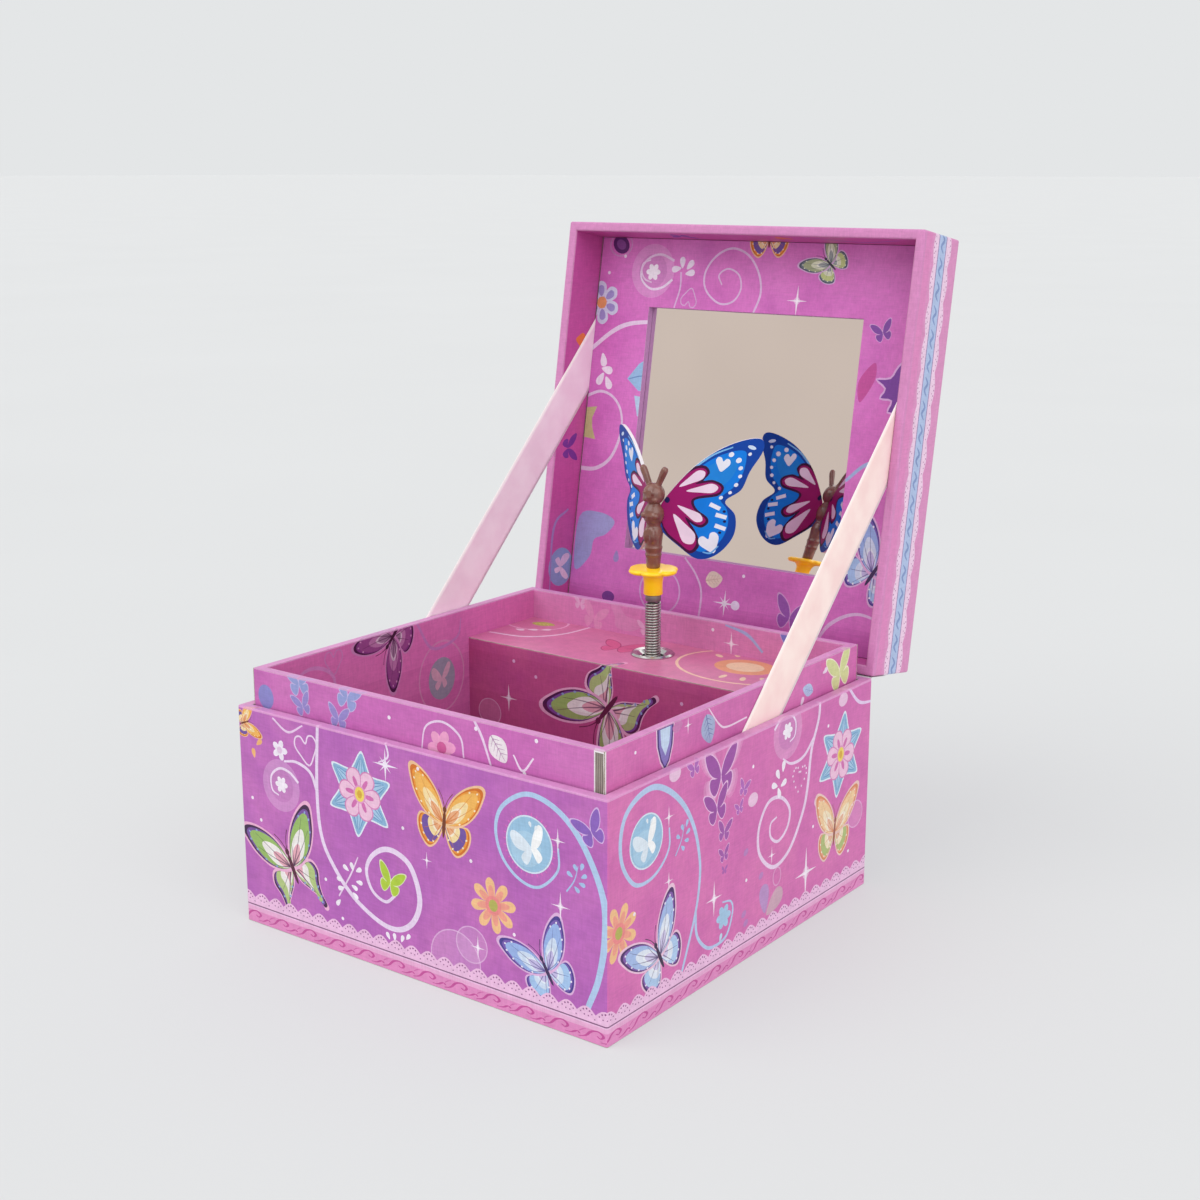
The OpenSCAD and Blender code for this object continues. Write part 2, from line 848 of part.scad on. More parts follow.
// One wing standing on edge; x runs outwards from the stem, y up from the compartment's top
module wing() {
  corners = [
    [wing_root, 38], [3.6, 42.3], [9.4, 48.8], [16, 53.6], [22.6, 56.3], [27.2, 56.6], [27.6, 53.6],
    [24.4, 48.4], [22.2, 43.6], [18.2, 40.6], [20.8, 37], [20.4, 31.6], [16.4, 26.9], [11.4, 25.6],
    [6.6, 28.8], [wing_root + 0.4, 33.6]
  ];
  translate([0, stem_y, housing_top])
    rotate([0, 0, wing_sweep])
      translate([0, wing_t / 2, 0])
        rotate([90, 0, 0])
          linear_extrude(height = wing_t)
            polygon(closed_curve(corners, 4));
}

module left_wing() {
  color([0.12, 0.5, 0.85])
    mirror([1, 0, 0])
      wing();
}

module right_wing() {
  color([0.12, 0.5, 0.85])
    wing();
}

base_board();
front_wall();
back_wall();
left_wall();
right_wall();
outer_wrap();
collar_front();
collar_back();
collar_left();
collar_right();
compartment_floor();
housing_front_panel();
housing_top_panel();
stem_eyelet();
lid_front_wall();
lid_back_wall();
lid_left_wall();
lid_right_wall();
lid_top_board();
lid_wrap();
lid_lining_panel();
mirror_frame();
mirror_glass();  // mirror
paper_hinge();
left_ribbon();
right_ribbon();
movement_bedplate();
movement_screws();
barrel_drum();
mainspring();
winding_arbor();
ratchet_wheel();
click_pawl();
winding_key();
output_stem();
stem_bracket();
pinned_cylinder();
cylinder_arbor();
cylinder_bracket();
music_comb();
comb_mount();
comb_screws();
second_arbor();
governor_worm();
air_brake();
governor_frame();
stop_wire();
spring_stem();
spring_ferrule();
flower_base();
butterfly_body();
left_wing();
right_wing();
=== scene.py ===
"""Looks of the musical jewellery box with the butterfly figure.

Lengths are in millimetres until they become meshes.
"""

import math

import bpy
import numpy as np
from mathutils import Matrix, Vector
from mathutils.geometry import delaunay_2d_cdt
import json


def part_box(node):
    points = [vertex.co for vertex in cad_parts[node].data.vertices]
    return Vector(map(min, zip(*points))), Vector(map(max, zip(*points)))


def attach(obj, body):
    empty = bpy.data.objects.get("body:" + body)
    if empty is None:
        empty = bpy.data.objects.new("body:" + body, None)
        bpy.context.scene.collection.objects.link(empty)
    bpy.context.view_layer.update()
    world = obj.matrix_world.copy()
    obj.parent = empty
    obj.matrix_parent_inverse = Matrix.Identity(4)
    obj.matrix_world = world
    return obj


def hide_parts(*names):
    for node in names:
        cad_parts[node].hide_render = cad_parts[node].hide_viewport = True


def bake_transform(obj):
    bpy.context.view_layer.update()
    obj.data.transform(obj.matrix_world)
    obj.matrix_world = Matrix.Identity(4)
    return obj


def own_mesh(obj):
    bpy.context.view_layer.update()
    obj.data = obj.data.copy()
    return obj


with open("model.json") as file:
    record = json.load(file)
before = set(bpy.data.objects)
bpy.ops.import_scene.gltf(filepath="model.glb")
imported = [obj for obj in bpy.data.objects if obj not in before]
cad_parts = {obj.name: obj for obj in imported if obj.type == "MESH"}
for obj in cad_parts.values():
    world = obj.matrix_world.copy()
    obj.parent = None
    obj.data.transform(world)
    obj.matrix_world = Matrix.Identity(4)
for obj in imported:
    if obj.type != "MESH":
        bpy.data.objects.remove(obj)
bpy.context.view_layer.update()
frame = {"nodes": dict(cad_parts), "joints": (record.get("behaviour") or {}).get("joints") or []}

MM = 0.001
NODES = frame["nodes"]
HINGE = next(j for j in frame["joints"] if j["name"] == "lid_hinge")
HINGE_AT = np.array(HINGE["pos_m"]) / MM
LID_OPEN = math.radians(HINGE["range_deg"][1])


# ---------------------------------------------------------------- places on the CAD part

def node_box(name):
    """Lowest and highest corner of a CAD node, in millimetres."""
    low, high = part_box(name)
    return np.array(low) / MM, np.array(high) / MM


def node_middle(name):
    low, high = node_box(name)
    return (low + high) / 2


def turn_lid(points, angle):
    """Turns points about the lid's hinge line."""
    rel = np.asarray(points, float) - HINGE_AT
    c, s = math.cos(angle), math.sin(angle)
    out = rel.copy()
    out[..., 1] = rel[..., 1] * c - rel[..., 2] * s
    out[..., 2] = rel[..., 1] * s + rel[..., 2] * c
    return out + HINGE_AT


def open_lid(points):
    return turn_lid(points, -LID_OPEN)


def closed_box(name):
    """Lowest and highest corner of a lid node as it lies when the lid is closed."""
    points = np.array([v.co for v in NODES[name].data.vertices]) / MM
    points = turn_lid(points, LID_OPEN)
    return points.min(0), points.max(0)


BOX_LOW, BOX_HIGH = node_box("outer_wrap")
HALF_W, HALF_D = BOX_HIGH[0], BOX_HIGH[1]
BOX_TOP = BOX_HIGH[2]
WALL_T = node_box("front_wall")[1][1] - BOX_LOW[1]
COLLAR_W = node_box("collar_right")[1][0]
COLLAR_D = node_box("collar_back")[1][1]
COLLAR_T = COLLAR_D - node_box("collar_back")[0][1]
COLLAR_TOP = node_box("collar_front")[1][2]
FLOOR_TOP = node_box("compartment_floor")[1][2]
HOUSING_Y = node_box("housing_front_panel")[0][1]
HOUSING_TOP = node_box("housing_top_panel")[1][2]
STEM = node_middle("stem_eyelet")
KEY_AXIS = node_middle("winding_arbor")
EYELET_R = (node_box("stem_eyelet")[1][0] - node_box("stem_eyelet")[0][0]) / 2
LID_LOW, LID_HIGH = closed_box("lid_wrap")
LINING_LOW = closed_box("lid_lining_panel")[0]
MIRROR_LOW, MIRROR_HIGH = closed_box("mirror")


# ---------------------------------------------------------------- materials

def tone(code, alpha=1.0):
    """Linear colour from an sRGB hex code."""
    out = []
    for i in (0, 2, 4):
        c = int(code[i:i + 2], 16) / 255
        out.append(c / 12.92 if c <= 0.04045 else ((c + 0.055) / 1.055) ** 2.4)
    if len(code) == 8:
        alpha = int(code[6:8], 16) / 255
    return (*out, alpha)


class Shader:
    """A material with its node tree, and short ways to add nodes to it."""

    def __init__(self, name, **settings):
        self.material = bpy.data.materials.new(name)
        self.material.use_nodes = True
        self.tree = self.material.node_tree
        self.surface = self.tree.nodes["Principled BSDF"]
        for key, value in settings.items():
            self.surface.inputs[key.replace("_", " ")].default_value = value
        self.place = self.tree.nodes.new("ShaderNodeTexCoord").outputs["Object"]

    def link(self, a, b):
        self.tree.links.new(a, b)

    def noise(self, per_mm, detail=3.0, rough=0.55, stretch=(1, 1, 1)):
        shift = self.tree.nodes.new("ShaderNodeMapping")
        shift.inputs["Scale"].default_value = [s / MM * per_mm for s in stretch]
        self.link(self.place, shift.inputs["Vector"])
        node = self.tree.nodes.new("ShaderNodeTexNoise")
        node.inputs["Scale"].default_value = 1.0
        node.inputs["Detail"].default_value = detail
        node.inputs["Roughness"].default_value = rough
        self.link(shift.outputs["Vector"], node.inputs["Vector"])
        return node.outputs["Fac"]

    def ramp(self, value, *stops):
        node = self.tree.nodes.new("ShaderNodeValToRGB")
        marks = node.color_ramp.elements
        while len(marks) < len(stops):
            marks.new(0.5)
        for mark, (at, colour) in zip(marks, stops):
            mark.position = at
            mark.color = colour
        self.link(value, node.inputs["Fac"])
        return node.outputs["Color"]

    def mix(self, fac, a, b, how="MIX"):
        node = self.tree.nodes.new("ShaderNodeMix")
        node.data_type = "RGBA"
        node.blend_type = how
        for value, socket in ((fac, node.inputs[0]), (a, node.inputs[6]), (b, node.inputs[7])):
            if isinstance(value, bpy.types.NodeSocket):
                self.link(value, socket)
            else:
                socket.default_value = value
        return node.outputs[2]

    def bump(self, height, strength, distance_mm):
        node = self.tree.nodes.new("ShaderNodeBump")
        node.inputs["Strength"].default_value = strength
        node.inputs["Distance"].default_value = distance_mm * MM
        self.link(height, node.inputs["Height"])
        self.link(node.outputs["Normal"], self.surface.inputs["Normal"])

    def colour(self, socket):
        self.link(socket, self.surface.inputs["Base Color"])

    def ink(self):
        """The colour painted on the mesh."""
        node = self.tree.nodes.new("ShaderNodeVertexColor")
        node.layer_name = "ink"
        return node.outputs

    def glow(self, code, strength):
        self.surface.inputs["Emission Color"].default_value = tone(code)
        self.surface.inputs["Emission Strength"].default_value = strength


def grey(value):
    return (value, value, value, 1.0)


MADE = {}


def once(make):
    """Makes each material a single time."""
    def get(*args):
        key = (make.__name__, *args)
        if key not in MADE:
            MADE[key] = make(*args)
        return MADE[key]
    return get


@once
def print_paper(name, first, second, third):
    """Printed paper: drifting washes of three tones, fine print grain, and on top the ink of its motifs,
    which on some sheets also holds painted light and shade.
    """
    s = Shader(name, Roughness=0.42, Specular_IOR_Level=0.38)
    wash = s.mix(s.ramp(s.noise(0.035, 2.0), (0.36, grey(0)), (0.64, grey(1))), tone(first), tone(second))
    wash = s.mix(s.ramp(s.noise(0.11, 3.0), (0.42, grey(0)), (0.75, grey(0.8))), wash, tone(third))
    ink = s.ink()
    page = s.mix(ink["Alpha"], wash, ink["Color"])
    mottle = s.ramp(s.noise(0.5, 4.0, 0.7), (0.3, grey(0.9)), (0.7, grey(1.0)))
    page = s.mix(1.0, page, mottle, "MULTIPLY")
    for stretch in ((1, 1, 0.12), (0.12, 0.12, 1)):
        grain = s.ramp(s.noise(2.6, 2.0, 0.7, stretch), (0.3, grey(0.91)), (0.7, grey(1.02)))
        page = s.mix(1.0, page, grain, "MULTIPLY")
    s.colour(page)
    s.bump(s.noise(2.2, 3.0, 0.7), 0.25, 0.05)
    return s.material


@once
def plain(name, code, rough, metal=0.0, grain=0.9, scale=1.2, bump=0.2):
    """A material of one tone with a little uneven wear."""
    s = Shader(name, Roughness=rough, Metallic=metal)
    wear = s.ramp(s.noise(scale, 4.0), (0.3, grey(grain)), (0.7, grey(1.0)))
    s.colour(s.mix(1.0, tone(code), wear, "MULTIPLY"))
    s.bump(s.noise(scale * 3, 3.0), bump, 0.04)
    return s.material


@once
def brushed(name, code, rough):
    s = Shader(name, Metallic=1.0)
    lines = s.noise(0.6, 4.0, 0.7, (1, 1, 14))
    s.colour(s.mix(1.0, tone(code), s.ramp(lines, (0.3, grey(0.82)), (0.7, grey(1.0))), "MULTIPLY"))
    s.link(s.ramp(lines, (0.3, grey(rough * 0.8)), (0.7, grey(rough * 1.3))), s.surface.inputs["Roughness"])
    return s.material


@once
def satin_cloth(name, dull, bright):
    """Woven satin with fine weft ribs, and white looped edges from its ink."""
    s = Shader(name, Roughness=0.38, Sheen_Weight=0.3, Sheen_Roughness=0.4, Specular_IOR_Level=0.6)
    ink = s.ink()
    weave = s.ramp(s.noise(0.12, 3.0, 0.5), (0.35, tone(dull)), (0.65, tone(bright)))
    s.colour(s.mix(ink["Alpha"], weave, ink["Color"]))
    s.bump(s.noise(4.0, 2.0, 0.5), 0.12, 0.03)
    return s.material


@once
def board_edge():
    s = Shader("grey_board", Roughness=0.9)
    fibre = s.noise(1.6, 5.0, 0.75, (0.25, 0.25, 1.6))
    s.colour(s.ramp(fibre, (0.28, tone("7D7268")), (0.52, tone("A89C8F")), (0.78, tone("C4B9AB"))))
    s.bump(fibre, 0.4, 0.1)
    return s.material


@once
def lining_board():
    s = Shader("lining_board", Roughness=0.85)
    s.colour(s.ramp(s.noise(1.2, 4.0), (0.3, tone("B983B4")), (0.7, tone("C690C0"))))
    return s.material


@once
def mirror_glass():
    s = Shader("mirror_silver", Metallic=1.0, Roughness=0.015)
    s.colour(s.ramp(s.noise(0.02, 2.0), (0.3, grey(0.86)), (0.7, grey(0.92))))
    return s.material


def dress(obj, material):
    obj.data.materials.clear()
    obj.data.materials.append(material)


# ---------------------------------------------------------------- drawing in a plane

def smooth(points, steps=6, closed=False):
    """Points along a smooth curve through the given ones."""
    p = np.asarray(points, float)
    if len(p) < 3:
        return p
    if closed:
        q = np.vstack([p[-1:], p, p[:2]])
    else:
        q = np.vstack([2 * p[0] - p[1], p, 2 * p[-1] - p[-2]])
    t = np.linspace(0, 1, steps, endpoint=False)[:, None]
    rows = []
    for a, b, c, d in zip(q, q[1:], q[2:], q[3:]):
        rows.append(0.5 * (2 * b + (c - a) * t + (2 * a - 5 * b + 4 * c - d) * t ** 2
                           + (3 * b - a - 3 * c + d) * t ** 3))
    if not closed:
        rows.append(p[-1:])
    return np.vstack(rows)


def round_about(radius, count, first=0.0):
    a = first + np.arange(count) * 2 * math.pi / count
    return np.column_stack([np.cos(a), np.sin(a)]) * radius


class Art:
    """Flat shapes in painting order, drawn through a movable frame of place, turn and scale."""

    def __init__(self):
        self.layers = []
        self.frame = (np.zeros(2), np.eye(2))

    def at(self, x, y, angle=0.0, scale=1.0):
        """A pen whose origin is at that place, turned by degrees and scaled."""
        pen = Art()
        pen.layers = self.layers
        a = math.radians(angle)
        turn = np.array([[math.cos(a), -math.sin(a)], [math.sin(a), math.cos(a)]])
        size = np.diag([scale, scale]) if np.isscalar(scale) else np.diag(scale)
        origin, basis = self.frame
        pen.frame = (origin + basis @ np.array([x, y]), basis @ turn @ size)
        return pen

    def fill(self, outline, code):
        origin, basis = self.frame
        self.layers.append((np.asarray(outline, float) @ basis.T + origin, tone(code)))

    def blob(self, points, code, steps=5):
        self.fill(smooth(points, steps, True), code)

    def oval(self, x, y, rx, ry, code, angle=0.0, count=18):
        a = math.radians(angle)
        ring = round_about(1, count) * (rx, ry)
        turn = np.array([[math.cos(a), math.sin(a)], [-math.sin(a), math.cos(a)]])
        self.fill(ring @ turn + (x, y), code)

    def stroke(self, points, widths, code, steps=7):
        line = smooth(points, steps)
        ahead = np.gradient(line, axis=0)
        ahead /= np.linalg.norm(ahead, axis=1)[:, None] + 1e-9
        side = np.column_stack([-ahead[:, 1], ahead[:, 0]])
        spread = np.interp(np.linspace(0, 1, len(line)), np.linspace(0, 1, len(widths)), widths) / 2
        side *= spread[:, None]
        self.fill(np.vstack([line + side, (line - side)[::-1]]), code)

    def block(self, left, low, right, high, code):
        self.fill([(left, low), (right, low), (right, high), (left, high)], code)

    def band(self, half, low, high, code):
        """A stripe right across the paper."""
        self.block(-half, low, half, high, code)

    def dots(self, spots, r, code):
        for x, y in spots:
            self.oval(x, y, r, r, code, 0, 8)


def petal_shape(*upper):
    """A closed outline from its upper half: the first and last points lie on its own axis."""
    return [*upper, *((x, -y) for x, y in upper[-2:0:-1])]


UPPER_WING = [(0.03, 0.02), (0.08, 0.3), (0.26, 0.64), (0.56, 0.92), (0.88, 1.06), (1.02, 0.98),
              (0.96, 0.72), (0.84, 0.46), (0.62, 0.2), (0.32, 0.03)]
LOWER_WING = [(0.03, 0.02), (0.34, 0.0), (0.62, 0.05), (0.72, -0.1), (0.68, -0.34), (0.54, -0.54),
              (0.38, -0.62), (0.22, -0.5), (0.1, -0.26)]
TAILED_WING = [(0.03, 0.02), (0.32, 0.0), (0.56, 0.0), (0.66, -0.2), (0.58, -0.44), (0.56, -0.66),
               (0.6, -0.88), (0.5, -0.9), (0.44, -0.66), (0.3, -0.5), (0.12, -0.3)]
# edge, rim of the wing, band inside it, inner cells, blush at the root, spots, body, glow, lower wing's band
PALETTES = {
    "swallow": ("3E1A48", "7A4FA0", "9CBF68", "F4EEEA", "E77F9C", "8FA8D8", "5A1C3C", "F3B6D8", "B7CC84"),
    "blue": ("4A3C92", "7A5CB4", "9DB8EC", "D5E4F8", "B9A6E0", "F4EEFA", "3E2A5C", "E3B6E2", "A9CAF2"),
    "purple": ("4A2468", "8458AC", "A9C0EC", "E6EDF9", "C9B9E8", "F4EEFA", "3A2148", "F0C6DF", "B4D0F2"),
    "orange": ("D9731C", "F09A34", "F7B95A", "FBE0A6", "E8862E", "FCEBC8", "7A3A1C", "F6C79A", "7452A4"),
    "peach": ("DE8A5C", "F2A888", "F6CFA0", "F8E6C4", "E9A07C", "FBF0DC", "A05A4A", "F2CCC4", "B4C27C"),
    "lime": ("8FA63C", "B9CF55", "C9DB70", "E4EBB0", "B9CF55", "F8F4D8", "7A8A3A", "F0DFC2", "C9DB70"),
    "dusk": ("461042", "8A3A86", "9A4A8C", "C07AAE", "7A2A70", "D79AC4", "3A1030", "D088BE", "9A4A8C"),
    "teal": ("4B5868", "6E7C86", "A9B58A", "E2E8C8", "7E8F94", "EDEFD2", "3F3E4A", "D9B5DE", "C6D28A"),
}


def wing_shape(pen, outline, edge, rim, band, inner, blush, spots, glow):
    """One printed wing: glow, dark edge, zones from rim to root, veins and spots along the edge."""
    shape = smooth(outline, 4, True)
    middle = shape.mean(0)
    root = np.array([0.05, 0.02])
    pen.fill(middle + (shape - middle) * 1.13, glow)
    pen.fill(shape, edge)
    for share, code in ((0.93, rim), (0.86, band), (0.6, inner), (0.42, "FFFFFF70"), (0.36, blush + "B0")):
        pen.fill(root + (shape - root) * share, code)
    for corner in outline[2:-1:2]:
        reach = root + (np.array(corner) - root) * 0.8
        pen.stroke([root, (root + reach) / 2 + (0.01, -0.02), reach], [0.035, 0.018, 0.008], edge + "B0", 3)
    for a, b in zip(outline[3:-1], outline[4:]):
        spot = root + ((np.array(a) + np.array(b)) / 2 - root) * 0.9
        pen.oval(spot[0], spot[1], 0.03, 0.022, spots, 40, 8)


def butterfly(art, x, y, angle, size, palette="blue", tails=False):
    """A printed butterfly seen from above."""
    edge, rim, band, inner, blush, spots, body, glow, low_band = PALETTES[palette]
    for side in (-1, 1):
        pen = art.at(x, y, angle, (size * side, size))
        outline = TAILED_WING if tails else LOWER_WING
        wing_shape(pen, outline, edge, rim, low_band, inner, blush, spots, glow)
        wing_shape(pen, UPPER_WING, edge, rim, band, inner, blush, spots, glow)
    pen = art.at(x, y, angle, size)
    pen.oval(0, -0.02, 0.05, 0.33, body, 0, 12)
    pen.oval(0, 0.31, 0.055, 0.07, body, 0, 10)
    for side in (-1, 1):
        pen.stroke([(0, 0.34), (side * 0.08, 0.55), (side * 0.2, 0.72)], [0.025, 0.015, 0.02], body, 4)


def shadow_butterfly(art, x, y, angle, size, code, outline=None):
    """A butterfly as a flat silhouette, with a pale outline if asked."""
    shapes = []
    for side in (-1, 1):
        for wing in (LOWER_WING, UPPER_WING):
            shapes.append((art.at(x, y, angle, (size * side, size)), smooth(wing, 4, True)))
    if outline:
        for pen, shape in shapes:
            middle = shape.mean(0)
            pen.fill(middle + (shape - middle) * 1.16, outline)
    for pen, shape in shapes:
        pen.fill(shape, code)


def side_butterfly(art, x, y, angle, size, code, shade):
    pen = art.at(x, y, angle, size)
    pen.blob([(0, 0), (-0.35, 0.5), (-0.75, 0.75), (-0.95, 0.55), (-0.8, 0.1), (-0.4, -0.1)], code)
    pen.blob([(0, 0), (-0.35, -0.1), (-0.6, -0.35), (-0.4, -0.65), (-0.1, -0.35)], code)
    pen.blob([(0, 0), (0.2, 0.5), (0.55, 0.9), (0.75, 0.75), (0.6, 0.3), (0.3, 0)], shade)
    pen.blob([(0, 0), (0.3, -0.05), (0.45, -0.4), (0.2, -0.6), (0.05, -0.3)], shade)


def small_flower(art, x, y, r, code, petals=5, heart=None, angle=0.0):
    for i in range(petals):
        a = angle + i * 360 / petals
        pen = art.at(x, y, a)
        pen.oval(r * 0.56, 0, r * 0.44, r * 0.32, code, 0, 10)
    art.oval(x, y, r * 0.34, r * 0.34, heart or code, 0, 10)


def daisy(art, x, y, r, angle=10.0):
    """Eight long orange petals, pink towards the middle."""
    for i in range(8):
        pen = art.at(x, y, angle + i * 45, r)
        pen.blob(petal_shape((0.1, 0), (0.45, 0.17), (0.85, 0.19), (1.02, 0)), "F8C48E")
        pen.blob(petal_shape((0.1, 0), (0.4, 0.13), (0.68, 0.08), (0.74, 0)), "F28C8CB0", 3)
    art.oval(x, y, r * 0.36, r * 0.36, "F28C8C")
    art.oval(x, y, r * 0.2, r * 0.22, "B9B55A")


def star_flower(art, x, y, r, angle):
    """Blue pointed petals with veins, pale pink rounded ones over them, yellow centre."""
    for i in range(6):
        pen = art.at(x, y, angle + i * 60, r)
        pen.blob(petal_shape((0.1, 0), (0.46, 0.29), (0.74, 0.2), (1.06, 0)), "E4EEF8", 4)
        pen.blob(petal_shape((0.1, 0), (0.45, 0.25), (0.71, 0.17), (1.0, 0)), "8DB8DA", 4)
        pen.blob(petal_shape((0.1, 0), (0.42, 0.15), (0.66, 0.09), (0.86, 0)), "A9CCE8", 3)
        for lift in (-0.13, -0.05, 0.05, 0.13):
            vein = [(0.3, lift * 0.8), (0.6, lift), (0.86, lift * 0.3)]
            pen.stroke(vein, [0.022, 0.02, 0.01], "5F8CC0", 2)
    for i in range(6):
        pen = art.at(x, y, angle + 30 + i * 60, r)
        pen.blob(petal_shape((0.05, 0), (0.34, 0.22), (0.56, 0.2), (0.66, 0)), "D984BC", 4)
        pen.blob(petal_shape((0.06, 0), (0.34, 0.19), (0.54, 0.17), (0.63, 0)), "F4C4E0", 4)
        pen.oval(0.3, 0, 0.15, 0.06, "D870B4", 0, 10)
    art.oval(x, y, r * 0.2, r * 0.22, "E79ACB")
    art.oval(x, y, r * 0.15, r * 0.18, "F4DA62")
    art.oval(x, y, r * 0.08, r * 0.1, "E0AE3C", 0, 10)


def leaf(art, x, y, angle, length, width, code, rib):
    pen = art.at(x, y, angle, (length, width))
    pen.blob(petal_shape((0, 0), (0.3, 0.42), (0.66, 0.4), (1.02, 0)), code)
    for k in range(4):
        pen.stroke([(0.12 + 0.18 * k, 0), (0.3 + 0.18 * k, 0.26)], [0.03, 0.015], rib, 2)
        pen.stroke([(0.12 + 0.18 * k, 0), (0.3 + 0.18 * k, -0.26)], [0.03, 0.015], rib, 2)
    pen.stroke([(0, 0), (0.95, 0)], [0.05, 0.02], rib, 2)


def petals(art, spots, length, code):
    """Teardrops: each has a place and the direction it points."""
    for x, y, angle in spots:
        pen = art.at(x, y, angle, length)
        pen.blob(petal_shape((-0.5, 0), (0, 0.26), (0.36, 0.24), (0.5, 0)), code, 3)


def sparkles(art, *spots):
    """Four-pointed twinkles, each at a place and with a reach."""
    thin = 0.07
    for x, y, r in spots:
        for turn, reach in ((0, 1.0), (90, 1.3)):
            pen = art.at(x, y, turn, r * reach)
            pen.fill(petal_shape((-1, 0), (-0.2, thin), (0, thin * 1.3), (0.2, thin), (1, 0)), "FFF4FFD8")
        art.oval(x, y, r * 0.3, r * 0.3, "FFF4FF60", 0, 12)
        art.oval(x, y, r * 0.14, r * 0.14, "FFF4FF", 0, 8)


def star8(art, x, y, r):
    """A twinkle with eight points."""
    for k in range(4):
        pen = art.at(x, y, k * 45, r * (1.0 if k % 2 == 0 else 0.62))
        pen.fill(petal_shape((-1, 0), (0, 0.09), (1, 0)), "F7ECFB")
    art.oval(x, y, r * 0.2, r * 0.2, "F7ECFB", 0, 10)


HALF_HEART = [(0, -0.55), (0.32, -0.2), (0.52, 0.14), (0.42, 0.42), (0.18, 0.44), (0, 0.2)]
HEART = [*HALF_HEART, *((-x, y) for x, y in HALF_HEART[-2:0:-1])]


def heart(art, x, y, angle, size, code):
    art.at(x, y, angle, size).blob(HEART, code, 3)


def heart_line(art, x, y, angle, size, code, dotted=False):
    pen = art.at(x, y, angle, size)
    loop = smooth(HEART, 3, True)
    if dotted:
        for px, py in loop[::2]:
            pen.oval(px, py, 0.05, 0.05, code, 0, 7)
    else:
        pen.stroke(np.vstack([loop, loop[:1]]), [0.06, 0.06], code, 2)


def ring_of(art, x, y, rx, ry, width, code, count=40):
    """A ring as one band, cut open where its ends meet."""
    a = np.linspace(0, 2 * math.pi, count)
    round_ = np.column_stack([np.cos(a), np.sin(a)])
    outer = round_ * (rx, ry) + (x, y)
    inner = round_ * (rx - width, ry - width) + (x, y)
    art.fill(np.vstack([outer, inner[::-1]]), code)


def halo_ring(art, x, y, r, flip=1):
    """A pale see-through ring holding a white flower on a hooked stem."""
    art.oval(x, y, r, r * 1.04, "F0C8EE48", 0, 30)
    art.oval(x, y, r * 0.66, r * 0.66, "B65BAE50", 0, 24)
    hook = [(0.95, 0.3), (0.5, 0.62), (-0.05, 0.68), (-0.52, 0.3), (-0.5, -0.25), (-0.15, -0.42)]
    art.stroke([(x + flip * r * u, y + r * v) for u, v in hook], [0.7, 0.6, 0.35], "F4DEF6")
    small_flower(art, x + flip * 0.02 * r, y + 0.04 * r, r * 0.34, "FBF1FC", 6)


def medallion(art, x, y, rx, ry):
    """A blue oval with a ring of ticks round it and a white butterfly seen from the side."""
    for angle in range(0, 360, 12):
        a = math.radians(angle)
        reach = math.hypot(rx * math.cos(a), ry * math.sin(a)) + 0.75
        art.at(x, y, angle).oval(reach, 0, 0.45, 0.16, "E36BC0C8", 0, 6)
    ring_of(art, x, y, rx + 0.35, ry + 0.35, 0.35, "D9EAF7")
    art.oval(x, y, rx, ry, "9DC6E4", 0, 30)
    art.oval(x - rx * 0.15, y - ry * 0.2, rx * 0.7, ry * 0.66, "B9D9EE80", 20, 24)
    side_butterfly(art, x + rx * 0.1, y - ry * 0.12, 14, rx * 0.92, "E3EEF8", "FFFFFF")
    petals(art, [(x + rx * 0.3, y + ry * 0.66, 60), (x + rx * 0.05, y + ry * 0.75, 110)], rx * 0.22, "EAF3FA")


def sprig(art, x, y, angle, size, code):
    pen = art.at(x, y, angle, size)
    pen.stroke([(-1, -0.9), (-0.2, -0.1), (0.3, 0.9)], [0.12, 0.09, 0.05], code, 4)
    petals(pen, [(-0.5, 0.3, 140), (0.05, 0.75, 110), (0.6, 0.85, 60), (0.65, 0.2, 20), (0.4, -0.35, -20),
                 (-0.1, -0.7, -50)], 0.55, code)


def bubble(art, x, y, r):
    art.oval(x, y, r, r * 0.95, "F7D5F426", 0, 30)
    ring_of(art, x, y, r, r * 0.95, 0.3, "F7D5F470")


EYELETS = [(-0.3, 0.62, 0.2), (-0.15, 0.78, 0.24), (0.02, 0.84, 0.26), (0.18, 0.76, 0.24), (0.3, 0.6, 0.2),
           (-0.1, 0.5, 0.2), (0.12, 0.48, 0.2), (0.46, 0.36, 0.2)]


def lace(art, low, high, half, pitch=5.0, tint="F3C3E6", hole="8E4A86"):
    """A band of lace from its straight edge at low to its scallops at high, with eyelets along them."""
    count = max(1, round(2 * half / pitch))
    step = 2 * half / count
    crown = high - low
    edge = []
    for k in range(count):
        for t in np.linspace(0, 1, 7)[:-1]:
            edge.append((-half + (k + t) * step, low + crown * (0.62 + 0.38 * math.sin(math.pi * t))))
    edge.append((half, low + crown * 0.62))
    art.fill([(-half, low), *edge, (half, low)], tint)
    for k in range(count):
        x = -half + (k + 0.5) * step
        for dx, dy, r in EYELETS:
            art.oval(x + dx * step, low + dy * crown, r, r * 0.9, hole, 0, 6)


